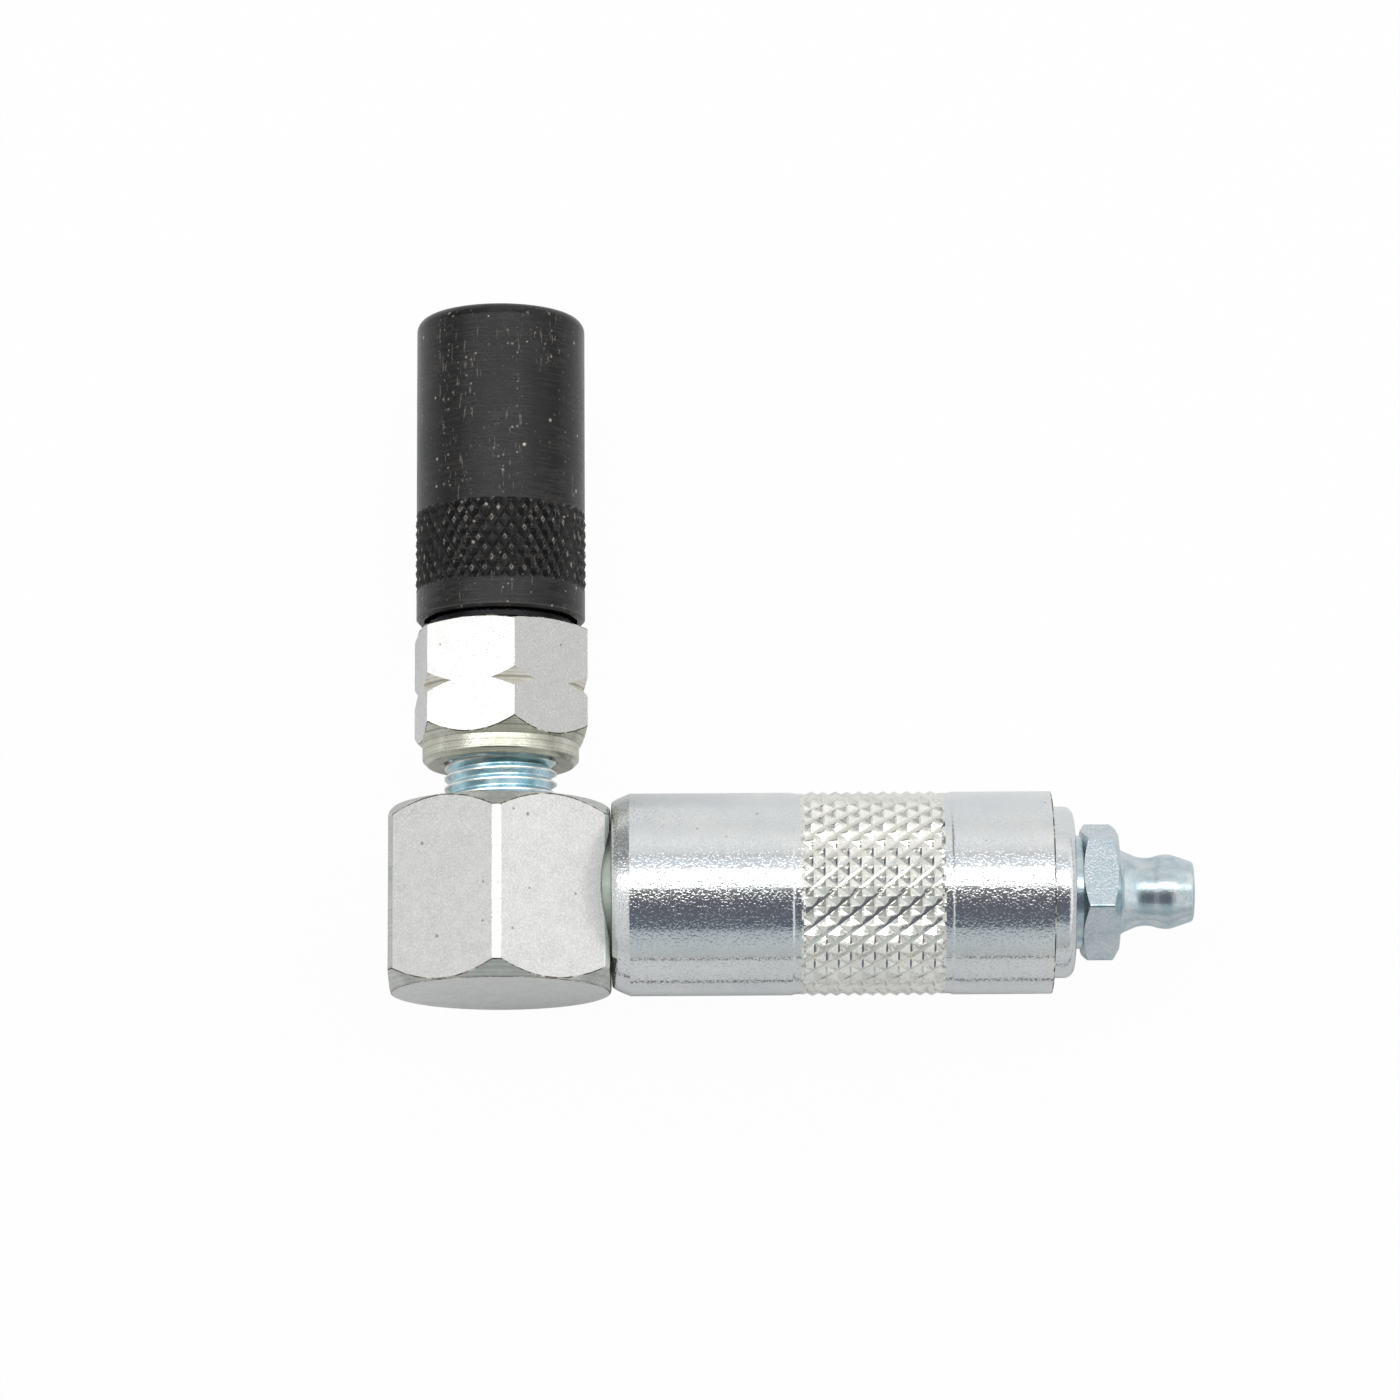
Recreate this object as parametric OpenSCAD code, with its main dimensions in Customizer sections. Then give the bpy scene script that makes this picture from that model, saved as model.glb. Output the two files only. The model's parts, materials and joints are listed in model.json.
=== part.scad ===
// Right-angle swivel grease coupler, in millimetres.
// +X runs along the handle, +Y along the coupler toward its mouth, and +Z is up.
// The origin is on the coupler axis, where the straight bore of the mouth begins.

/* [Elbow block] */
// Hexagon bar across flats
elbow_af = 19; // [18:0.5:22]
// Turned off each bar corner, measured on the radius
elbow_corner_trim = 0.22; // [0.1:0.02:0.5]
// Handle axis to the closed end
elbow_base = 8.55; // [7.5:0.05:11]
// Handle axis to the coupler end
elbow_top = 7.5; // [7:0.1:10]
// Chamfer on both ends
elbow_chamfer = 1.35; // [0.8:0.05:2]
// Rim diameter of the spot face round the handle port
spotface_d = 13.8; // [13.6:0.1:15]
// Depth of the spot face
spotface_depth = 0.7; // [0.5:0.1:1]
// Diameter of the grease way through the elbow and the spindle
grease_way_d = 3.5; // [2.5:0.1:4]

/* [Pipe threads] */
// Outside diameter of the pipe thread on both nipples
pipe_thread_d = 9.75; // [9.5:0.05:10.2]
// Depth of the elbow's pipe port
elbow_port_depth = 4.6; // [4:0.1:5]
// Depth of the coupler body's pipe port
coupler_port_depth = 6.03; // [6:0.01:8]
// Thread that shows between the elbow and the coupler
outlet_show = 3.87; // [2:0.01:6]
// Bore of the outlet nipple
outlet_bore_d = 3; // [2:0.1:4]

/* [Coupler body] */
// Hexagon across flats
hex_af = 14; // [14:0.5:17]
// Turn of the hexagon from the elbow's corners, in degrees
hex_turn = 10.3; // [0:0.1:59]
// Length of the hexagon
hex_len = 10.28; // [9:0.1:14]
// Distance from the hexagon's rear end to the mark groove
hex_groove_at = 4.75; // [3:0.05:6]
// Depth of the mark groove at the corners
hex_groove_depth = 0.87; // [0.4:0.01:1]
// Diameter of the round collar behind the hexagon
collar_d = 13.58; // [12.5:0.02:14]
// Length of the collar
collar_len = 1.7; // [1.5:0.01:4]
// Rounding of the collar's rear edge
collar_round = 0.45; // [0.4:0.05:1.4]
// Outside diameter of the sleeve thread
body_thread_d = 12.6; // [12.4:0.05:12.8]
// Length of the turned nose in front of the hexagon
body_nose_len = 11.65; // [11:0.05:13]
// Depth of the jaw spring's seat in the nose
spring_seat_depth = 4; // [3:0.1:4.5]

/* [Check valve] */
// Check ball
valve_ball_d = 3.5; // [3:0.1:3.6]
// Hole under the ball's seat
valve_hole_d = 2; // [1.4:0.1:2]
// Length of that hole
valve_hole_len = 1.2; // [0.8:0.1:1.6]
// Height of the valve spring
valve_spring_len = 2.9; // [2.6:0.1:3.2]
// Thickness of the retainer ring
retainer_t = 0.8; // [0.5:0.1:1.2]

/* [Sleeve] */
// Wall over the sleeve thread
sleeve_wall = 0.95; // [0.9:0.05:2]
// Length
sleeve_len = 27.1; // [26.6:0.1:30]
// Gap between the hexagon and the sleeve
sleeve_gap = 0.75; // [0.7:0.05:1]
// Travel when the sleeve is screwed in from its set place
sleeve_in = 0.6; // [0.4:0.1:0.6]
// Rear end to the knurled band
sleeve_knurl_at = 2.53; // [1:0.01:6]
// Length of the knurled band
sleeve_knurl_len = 7.07; // [4:0.01:12]
// Height of the knurled band over the sleeve
sleeve_knurl_rise = 0.1; // [0.05:0.01:0.3]
// Rounding of the nose
sleeve_nose_round = 1.1; // [0.5:0.1:1.4]
// Diameter of the mouth
mouth_d = 9; // [8.6:0.1:9.4]
// Straight depth of the mouth
mouth_depth = 3; // [2:0.1:3.4]
// Bevel round the mouth
mouth_bevel = 0.4; // [0.2:0.1:0.6]
// Slope of the cone that closes the jaws, in degrees from the axis
cone_angle = 20; // [18:1:24]
// Diameter of the jaw chamber
chamber_d = 12.2; // [12:0.1:12.4]
// Section of the friction ring in the sleeve's rear end
sleeve_ring_section = 1.2; // [1:0.05:1.2]

/* [Jaws and seal] */
// Length of a jaw
jaw_len = 9; // [8:0.1:9.6]
// Outside diameter of the closed jaws
jaw_d = 10.8; // [10.4:0.1:10.8]
// Diameter inside the gripping lips
jaw_lip_d = 5.9; // [5.6:0.1:6.2]
// Length of the gripping lips
jaw_lip_len = 1.2; // [0.8:0.1:1.6]
// Lead-in bevel in front of the lips
jaw_lead_in = 0.7; // [0.5:0.05:0.9]
// Diameter inside the jaws behind the lips
jaw_cavity_d = 7.2; // [7.1:0.05:7.6]
// Slit between two jaws
jaw_slit = 0.4; // [0.2:0.05:0.8]
// Way back that the jaws and the seal can be pushed
jaw_travel = 1.4; // [1:0.1:1.4]
// Thickness of the washer behind the jaws
jaw_washer_t = 1.1; // [0.8:0.1:1.4]
// Outside diameter of the seal piston's tube
piston_d = 5; // [4.6:0.1:5.4]
// Bore of the seal piston
piston_bore_d = 2.4; // [1.8:0.1:2.4]
// Length of the seal piston's cup
cup_len = 3.1; // [2.6:0.1:3.4]
// Outside diameter of the nose seal
seal_d = 6; // [5.8:0.1:6.1]
// Hole in the nose seal
seal_hole_d = 2.4; // [2:0.1:3]
// Length of the nose seal
seal_len = 2.5; // [2:0.1:2.8]
// Wire of the jaw spring
jaw_wire_d = 0.9; // [0.7:0.05:1]

/* [Handle] */
// Outside diameter of the barrel
barrel_d = 17.5; // [17.3:0.1:20]
// Length of the barrel
barrel_len = 37.85; // [36:0.05:60]
// Gap between the elbow and the barrel
swivel_gap = 0.2; // [0.15:0.05:0.3]
// Length of the rounded end next to the elbow
barrel_end_len = 1.4; // [0.5:0.1:2]
// Depth of that rounding, measured on the radius
barrel_end_drop = 0.7; // [0.3:0.1:1]
// End of the barrel at the elbow to the knurled band
barrel_knurl_at = 16.17; // [8:0.01:18]
// Length of the knurled band
barrel_knurl_len = 12.33; // [8:0.01:16]
// Height of the knurl's pyramids over the barrel
barrel_knurl_rise = 0.08; // [0.04:0.01:0.3]
// Depth of the grooves between the pyramids
barrel_knurl_depth = 0.42; // [0.3:0.01:0.5]
// Pyramids in one row round the barrel
barrel_knurl_teeth = 32; // [24:1:40]
// Length of a pyramid along the barrel
barrel_knurl_pitch = 2.05; // [1.6:0.05:2.6]
// Width of the shallow run-outs beside the knurled band
knurl_runout = 0.65; // [0.4:0.05:1]
// Depth of the run-outs
knurl_runout_depth = 0.1; // [0.05:0.01:0.2]
// Bore of the barrel
barrel_bore_d = 13.2; // [13:0.05:13.4]
// Thickness of the barrel's wall at the elbow end
barrel_wall = 6; // [5:0.1:7]
// Thread of the end plug
plug_thread_d = 14; // [13.9:0.05:14.2]
// Length of that thread
plug_thread_len = 8.25; // [7.5:0.05:10]
// Length of the plug's sealing spigot
spigot_len = 3.8; // [3:0.1:4.4]
// Flange of the end plug
flange_d = 14.8; // [14.4:0.1:16]
// Thickness of that flange
flange_t = 1.9; // [1.4:0.1:3]
// Rounding of the flange
flange_round = 0.9; // [0.3:0.1:1.2]

/* [Swivel spindle] */
// Thread in the elbow
spindle_thread_d = 8; // [7.6:0.1:8.4]
// Length of that thread
spindle_reach = 3.2; // [2.6:0.1:3.4]
// Journal in the barrel's end wall
journal_d = 10; // [9.6:0.1:10.4]
// Length of the piston head
spindle_head_len = 10; // [8:0.1:12]
// Outside diameter of the gasket
gasket_d = 11.2; // [10.8:0.1:11.4]
// Thickness of the bronze thrust washer
thrust_t = 1.2; // [0.8:0.1:2]
// Section of the swivel and plug seal rings
ring_section = 1.7; // [1.4:0.05:1.8]

/* [Inlet nipple] */
// Hexagon across flats
inlet_af = 10.8; // [10.6:0.1:12]
// Turn of that hexagon, in degrees
inlet_turn = 21; // [0:0.1:59]
// Thickness of the hexagon
inlet_hex_len = 3.2; // [2.6:0.1:5]
// Shank that shows between the plug and the hexagon
inlet_show = 0.65; // [0.3:0.05:2]
// Depth of the pipe port in the plug
inlet_port_depth = 5.95; // [5:0.05:7]
// Diameter of the stem where it leaves the hexagon
inlet_root_d = 7.4; // [6.6:0.1:8]
// Diameter of the neck under the head
inlet_neck_d = 5.5; // [5:0.1:5.8]
// Hexagon to the neck
inlet_neck_at = 2.17; // [1.6:0.05:3]
// Diameter of the head
inlet_head_d = 6.45; // [6.3:0.05:6.6]
// Length of the head, from the neck to the tip
inlet_head_len = 4.33; // [4:0.05:5]
// Diameter of the tip
inlet_tip_d = 5.07; // [4.6:0.05:5.4]
// Ball in the head
inlet_ball_d = 2.8; // [2.6:0.1:3]
// Hole in front of the ball
inlet_hole_d = 1.7; // [1.2:0.1:1.7]

/* [Clearances] */
// Radial gap of screwed pieces
thread_gap = 0.05; // [0.02:0.01:0.08]
// Radial gap of pieces that turn or slide in each other
running_gap = 0.05; // [0.03:0.01:0.08]
// Gap between end faces that move past each other
face_gap = 0.1; // [0.05:0.01:0.15]
// Gap between a jaw and the cone, and between a ball and its seat
seat_gap = 0.1; // [0.05:0.01:0.15]
// Room left at the bottom of a threaded port
port_gap = 0.3; // [0.1:0.1:0.5]

/* [Hidden] */
$fn = 96;

zinc = "gainsboro";
blue_zinc = "lightsteelblue";
black_steel = "dimgray";
spring_steel = "slategray";
rubber = "darkslategray";

// Stations along the coupler axis, from where it crosses the handle axis
elbow_port_floor = elbow_top - elbow_port_depth;
coupler_rear = elbow_top + outlet_show;
coupler_port_floor = coupler_rear + coupler_port_depth;
hex_from = coupler_rear + collar_len;
hex_to = hex_from + hex_len;
body_front = hex_to + body_nose_len;
spring_floor = body_front - spring_seat_depth;
sleeve_rear = hex_to + sleeve_gap;
mouth_y = sleeve_rear + sleeve_len;
mouth_floor = mouth_y - mouth_depth;
origin_y = mouth_y - mouth_bevel;
cone_base = mouth_floor - (chamber_d - mouth_d) / 2 / tan(cone_angle);
jaw_front = mouth_floor - 3 * seat_gap;
jaw_rear = jaw_front - jaw_len;
washer_front = jaw_rear - face_gap;
washer_rear = washer_front - jaw_washer_t;
cup_front = washer_front + cup_len;
seal_rear = cup_front - 0.7 * seal_len;
spring_seat_wall = 1.2;
spring_seat_r = body_thread_d / 2 - spring_seat_wall;
jaw_spring_room = 0.25;
jaw_spring_r = spring_seat_r - jaw_wire_d / 2 - jaw_spring_room;

// Check valve
valve_ball_room = 0.45;
valve_bore_r = valve_ball_d / 2 + valve_ball_room;
valve_seat_at = coupler_port_floor + valve_hole_len;
valve_ball_at = valve_seat_at - valve_hole_d / 2 + (valve_ball_d / 2 + seat_gap / 4) * sqrt(2);
valve_wire_d = 0.4;
valve_spring_room = 0.6;
valve_spring_r = valve_bore_r - valve_wire_d / 2 - valve_spring_room;
valve_spring_from = valve_ball_at + coil_on_ball(valve_ball_d, valve_spring_r, valve_wire_d);
retainer_from = valve_spring_from + valve_spring_len;
retainer_to = retainer_from + retainer_t;
piston_rear = retainer_to + jaw_travel + sleeve_in + 3 * face_gap;
piston_bore_r = piston_d / 2 + running_gap;
piston_ring_section = 0.75;
piston_ring_at = piston_rear + 2 * piston_ring_section;

// Friction ring under the sleeve's rear end
sleeve_ring_at = sleeve_rear + sleeve_ring_section;
sleeve_ring_groove_r = body_thread_d / 2 - sleeve_ring_section * 0.8;
sleeve_ring_out_r = sleeve_ring_groove_r + running_gap + sleeve_ring_section;
ring_room_to = sleeve_ring_at + sleeve_ring_section / 2 + sleeve_in + face_gap;
sleeve_thread_runout = 0.9;
sleeve_thread_to = body_front + sleeve_in + sleeve_thread_runout;
sleeve_thread_r = body_thread_d / 2 + 2 * thread_gap;

// Stations along the handle axis, from the coupler axis
elbow_flat = elbow_af / 2;
elbow_corner_r = elbow_flat / cos(30) - elbow_corner_trim;
spotface_at = elbow_flat - spotface_depth;
spindle_port_floor = spotface_at - spindle_reach;
barrel_from = elbow_flat + swivel_gap;
journal_from = barrel_from - face_gap;
barrel_wall_to = barrel_from + barrel_wall;
thrust_to = barrel_wall_to + thrust_t;
spindle_head_from = thrust_to + face_gap;
spindle_head_to = spindle_head_from + spindle_head_len;
barrel_to = barrel_from + barrel_len;
knurl_tuck = 0.25;
plug_thread_from = barrel_to - plug_thread_len;
spigot_from = plug_thread_from - spigot_len;
flange_to = barrel_to + flange_t;
inlet_port_floor = flange_to - inlet_port_depth;
inlet_hex_from = flange_to + inlet_show;
inlet_hex_to = inlet_hex_from + inlet_hex_len;
inlet_neck = inlet_hex_to + inlet_neck_at;
inlet_tip = inlet_neck + inlet_head_len;

// Seal rings in the barrel's bore
bore_r = barrel_bore_d / 2;
spindle_head_r = bore_r - 2 * running_gap;
ring_mid_r = bore_r - running_gap - ring_section / 2;
ring_groove_r = ring_mid_r - ring_section / 2 - running_gap;
ring_groove_len = ring_section + 2 * running_gap;
backup_t = 0.9;
spindle_ring_at = spindle_head_from + spindle_head_len / 2;
spindle_groove_from = spindle_ring_at - ring_groove_len / 2;
spindle_groove_to = spindle_ring_at + ring_groove_len / 2 + backup_t + running_gap;
plug_ring_at = spigot_from + 0.45 * spigot_len;

// Inlet valve
inlet_ball_room = 0.2;
inlet_bore_r = inlet_ball_d / 2 + inlet_ball_room;
inlet_shank_from = inlet_port_floor + port_gap;
inlet_lip_t = 0.6;
inlet_hole_len = 0.9;
inlet_hole_from = inlet_tip - inlet_hole_len;
inlet_ball_at = inlet_hole_from + inlet_hole_d / 2 - (inlet_ball_d / 2 + seat_gap / 4) * sqrt(2);
inlet_wire_d = 0.4;
inlet_spring_room = 0.3;
inlet_spring_r = inlet_bore_r - inlet_wire_d / 2 - inlet_spring_room;
inlet_spring_from = inlet_shank_from + inlet_lip_t;
inlet_spring_to = inlet_ball_at - coil_on_ball(inlet_ball_d, inlet_spring_r, inlet_wire_d);

// Distance from a ball's centre to the end face of a coil that rests on it
function coil_on_ball(ball_d, mean_r, wire_d) =
    sqrt(((ball_d + wire_d) / 2) ^ 2 - mean_r ^ 2) - wire_d / 2 + 0.03;

// Points of an elliptical arc, for the rounded stretches of a turned profile
function arc(centre, rx, ry, from, to, steps = 6) = [
    for (i = [0 : steps])
        let (a = from + (to - from) * i / steps)
        centre + [rx * cos(a), ry * sin(a)]
];

// Height of a coil's wire centre after some turns, with one closed turn at each end
function coil_height(turn, turns, rise, wire_d) =
    let (closed = 1.05 * wire_d)
    turn < 1 ? turn * closed
    : turn > turns - 1 ? rise - (turns - turn) * closed
    : closed + (turn - 1) * (rise - 2 * closed) / (turns - 2);

// Pieces are drawn along +Z and laid on one of the two axes
module on_coupler_axis() {
    translate([0, -origin_y, 0]) rotate([-90, 0, 0]) children();
}

module on_handle_axis() {
    translate([0, -origin_y, 0]) rotate([0, 90, 0]) children();
}

module turned(profile) {
    rotate_extrude() polygon(profile);
}

module rod(r, from, to) {
    translate([0, 0, from]) cylinder(r = r, h = to - from);
}

module ring(r_in, r_out, from, to) {
    rotate_extrude() translate([r_in, from]) square([r_out - r_in, to - from]);
}

module seal_ring(mid_r, section_d, at) {
    translate([0, 0, at]) rotate_extrude() translate([mid_r, 0]) circle(d = section_d);
}

module hex_bar(across_flats, from, to) {
    translate([0, 0, from]) cylinder(r = across_flats / 2 / cos(30), h = to - from, $fn = 6);
}

module coil(mean_r, wire_d, from, to, turns, steps = 18, sides = 8) {
    last = round(turns * steps);
    points = [
        for (i = [0 : last])
            let (height = from + wire_d / 2 + coil_height(i / steps, last / steps, to - from - wire_d, wire_d))
            for (k = [0 : sides - 1])
                let (
                    r = mean_r + wire_d / 2 * cos(360 * k / sides),
                    z = height + wire_d / 2 * sin(360 * k / sides),
                    a = 360 * i / steps
                )
                [r * cos(a), r * sin(a), z]
    ];
    skin = [
        for (i = [0 : last - 1])
            for (k = [0 : sides - 1])
                let (a = i * sides + k, b = i * sides + (k + 1) % sides)
                each [[a, b, a + sides], [b, b + sides, a + sides]]
    ];
    start_cap = [for (k = [sides - 1 : -1 : 0]) k];
    end_cap = [for (k = [0 : sides - 1]) last * sides + k];
    polyhedron(points, concat(skin, [start_cap, end_cap]));
}

// Rod covered with pyramids between crossing grooves; it goes on past both ends at the grooves' depth
module knurl(peak_r, depth, from, to, teeth, pitch) {
    root_r = peak_r - depth;
    rows = 2 * round((to - from) / pitch);
    corners = 2 * teeth;
    points = [
        for (row = [0 : rows])
            let (
                past_end = row == 0 ? -knurl_tuck : row == rows ? knurl_tuck : 0,
                z = from + (to - from) * row / rows + past_end
            )
            for (k = [0 : corners - 1])
                let (
                    r = past_end != 0 || (row + k) % 2 == 0 ? root_r : peak_r,
                    a = 360 * k / corners
                )
                [r * cos(a), r * sin(a), z]
    ];
    skin = [
        for (row = [0 : rows - 1])
            for (k = [0 : corners - 1])
                let (
                    a = row * corners + k,
                    b = row * corners + (k + 1) % corners,
                    c = b + corners,
                    d = a + corners
                )
                each (row + k) % 2 == 0 ? [[a, d, c], [a, c, b]] : [[a, d, b], [d, c, b]]
    ];
    start_cap = [for (k = [0 : corners - 1]) k];
    end_cap = [for (k = [corners - 1 : -1 : 0]) rows * corners + k];
    polyhedron(points, concat(skin, [start_cap, end_cap]));
}

// Handle
module barrel() {
    r = barrel_d / 2;
    knurl_from = barrel_from + barrel_knurl_at;
    knurl_to = knurl_from + barrel_knurl_len;
    low_r = r - knurl_runout_depth;
    peak_r = r + barrel_knurl_rise;
    core_r = peak_r - barrel_knurl_depth - knurl_tuck;
    outside = concat(
        [[0, barrel_from]],
        arc([r - barrel_end_drop, barrel_from + barrel_end_len], barrel_end_drop, barrel_end_len, -90, 0),
        [
            [r, knurl_from - knurl_runout],
            [low_r, knurl_from - knurl_runout + knurl_runout_depth],
            [low_r, knurl_from],
            [core_r, knurl_from],
            [core_r, knurl_to],
            [low_r, knurl_to],
            [low_r, knurl_to + knurl_runout - knurl_runout_depth],
            [r, knurl_to + knurl_runout],
            [r, barrel_to],
            [0, barrel_to]
        ]
    );
    journal_r = journal_d / 2 + running_gap;
    plug_r = plug_thread_d / 2 + thread_gap;
    over = 1;
    inside = [
        [0, barrel_from - over],
        [journal_r, barrel_from - over],
        [journal_r, barrel_wall_to],
        [bore_r, barrel_wall_to],
        [bore_r, plug_thread_from],
        [plug_r, plug_thread_from],
        [plug_r, barrel_to + over],
        [0, barrel_to + over]
    ];
    color(zinc) on_handle_axis() difference() {
        union() {
            turned(outside);
            knurl(peak_r, barrel_knurl_depth, knurl_from, knurl_to, barrel_knurl_teeth, barrel_knurl_pitch);
        }
        turned(inside);
    }
}

module end_plug() {
    flange_r = flange_d / 2;
    port_r = pipe_thread_d / 2 + thread_gap;
    spigot_r = bore_r - 2 * running_gap;
    profile = concat(
        [
            [grease_way_d / 2, spigot_from],
            [spigot_r, spigot_from],
            [spigot_r, plug_ring_at - ring_groove_len / 2],
            [ring_groove_r, plug_ring_at - ring_groove_len / 2],
            [ring_groove_r, plug_ring_at + ring_groove_len / 2],
            [spigot_r, plug_ring_at + ring_groove_len / 2],
            [spigot_r, plug_thread_from + port_gap],
            [plug_thread_d / 2, plug_thread_from + port_gap],
            [plug_thread_d / 2, barrel_to],
            [flange_r, barrel_to]
        ],
        arc([flange_r - flange_round, flange_to - flange_round], flange_round, flange_round, 0, 90),
        [
            [port_r, flange_to],
            [port_r, inlet_port_floor],
            [grease_way_d / 2, inlet_port_floor]
        ]
    );
    color(zinc) on_handle_axis() turned(profile);
}

module plug_o_ring() {
    color(rubber) on_handle_axis() seal_ring(ring_mid_r, ring_section, plug_ring_at);
}

module thrust_washer() {
    color("peru") on_handle_axis()
        ring(journal_d / 2 + 2 * running_gap, bore_r - 4 * running_gap, barrel_wall_to, thrust_to);
}

// Inlet nipple
module inlet_nipple() {
    shank_r = pipe_thread_d / 2;
    shank_bevel = 0.5;
    root_r = inlet_root_d / 2;
    neck_r = inlet_neck_d / 2;
    head_r = inlet_head_d / 2;
    tip_r = inlet_tip_d / 2;
    land_from = inlet_neck + 0.37 * inlet_head_len;
    land_to = inlet_neck + 0.53 * inlet_head_len;
    tip_round = 0.25;
    hex_bevel = 0.7;
    stem = concat(
        [
            [0, inlet_shank_from],
            [shank_r - shank_bevel, inlet_shank_from],
            [shank_r, inlet_shank_from + shank_bevel],
            [shank_r, inlet_hex_from + hex_bevel],
            [root_r, inlet_hex_from + hex_bevel]
        ],
        arc([root_r, inlet_neck], root_r - neck_r, inlet_neck_at, 270, 180),
        [
            [head_r, land_from],
            [head_r, land_to],
            [tip_r, inlet_tip - tip_round],
            [tip_r - tip_round, inlet_tip],
            [0, inlet_tip]
        ]
    );
    hex_r = inlet_af / 2 / cos(30);
    hex_limit = [
        [0, inlet_hex_from],
        [hex_r, inlet_hex_from],
        [hex_r, inlet_hex_to - hex_bevel],
        [hex_r - hex_bevel / tan(30), inlet_hex_to],
        [0, inlet_hex_to]
    ];
    bore = [
        [0, inlet_shank_from - port_gap],
        [inlet_spring_r, inlet_shank_from - port_gap],
        [inlet_spring_r, inlet_spring_from],
        [inlet_bore_r, inlet_spring_from],
        [inlet_bore_r, inlet_hole_from - inlet_bore_r + inlet_hole_d / 2],
        [inlet_hole_d / 2, inlet_hole_from],
        [inlet_hole_d / 2, inlet_tip + port_gap],
        [0, inlet_tip + port_gap]
    ];
    color(blue_zinc) on_handle_axis() difference() {
        union() {
            turned(stem);
            intersection() {
                rotate(inlet_turn) hex_bar(inlet_af, inlet_hex_from, inlet_hex_to);
                turned(hex_limit);
            }
        }
        turned(bore);
    }
}

module inlet_spring() {
    color(spring_steel) on_handle_axis()
        coil(inlet_spring_r, inlet_wire_d, inlet_spring_from, inlet_spring_to, 9, 16, 6);
}

module inlet_ball() {
    color(spring_steel) on_handle_axis() translate([0, 0, inlet_ball_at]) sphere(d = inlet_ball_d);
}

// Elbow and swivel
module elbow() {
    end_r = elbow_corner_r - elbow_chamfer;
    limit = [
        [0, -elbow_base],
        [end_r, -elbow_base],
        [elbow_corner_r, elbow_chamfer - elbow_base],
        [elbow_corner_r, elbow_top - elbow_chamfer],
        [end_r, elbow_top],
        [0, elbow_top]
    ];
    spotface_slope = 1.4;
    over = 1;
    color(zinc) translate([0, -origin_y, 0]) difference() {
        rotate([-90, 0, 0]) intersection() {
            rotate(30) hex_bar(elbow_af, -elbow_base, elbow_top);
            turned(limit);
        }
        rotate([-90, 0, 0]) {
            rod(grease_way_d / 2, 0, elbow_top);
            rod(pipe_thread_d / 2 + thread_gap, elbow_port_floor, elbow_top + over);
        }
        rotate([0, 90, 0]) {
            rod(grease_way_d / 2, 0, elbow_flat);
            rod(spindle_thread_d / 2 + thread_gap, spindle_port_floor, elbow_flat);
            translate([0, 0, spotface_at]) cylinder(
                r1 = spotface_d / 2 - spotface_slope * spotface_depth,
                r2 = spotface_d / 2 + spotface_slope * over,
                h = spotface_depth + over
            );
        }
    }
}

module spindle() {
    profile = [
        [grease_way_d / 2, spindle_port_floor + port_gap],
        [spindle_thread_d / 2, spindle_port_floor + port_gap],
        [spindle_thread_d / 2, journal_from],
        [journal_d / 2, journal_from],
        [journal_d / 2, spindle_head_from],
        [spindle_head_r, spindle_head_from],
        [spindle_head_r, spindle_groove_from],
        [ring_groove_r, spindle_groove_from],
        [ring_groove_r, spindle_groove_to],
        [spindle_head_r, spindle_groove_to],
        [spindle_head_r, spindle_head_to],
        [grease_way_d / 2, spindle_head_to]
    ];
    color(zinc) on_handle_axis() turned(profile);
}

module spindle_gasket() {
    color(zinc) on_handle_axis()
        ring(spindle_thread_d / 2 + 2 * thread_gap, gasket_d / 2, spotface_at, journal_from);
}

module spindle_o_ring() {
    color(rubber) on_handle_axis() seal_ring(ring_mid_r, ring_section, spindle_ring_at);
}

module spindle_backup_ring() {
    color("ivory") on_handle_axis() ring(
        ring_groove_r + running_gap,
        bore_r - running_gap,
        spindle_groove_to - backup_t,
        spindle_groove_to
    );
}

// Outlet nipple and coupler body
module outlet_nipple() {
    r = pipe_thread_d / 2;
    bevel = 0.6;
    from = elbow_port_floor + port_gap;
    to = coupler_port_floor - port_gap;
    profile = [
        [outlet_bore_d / 2, from],
        [r - bevel, from],
        [r, from + bevel],
        [r, to - bevel],
        [r - bevel, to],
        [outlet_bore_d / 2, to]
    ];
    color(blue_zinc) on_coupler_axis() turned(profile);
}

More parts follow.
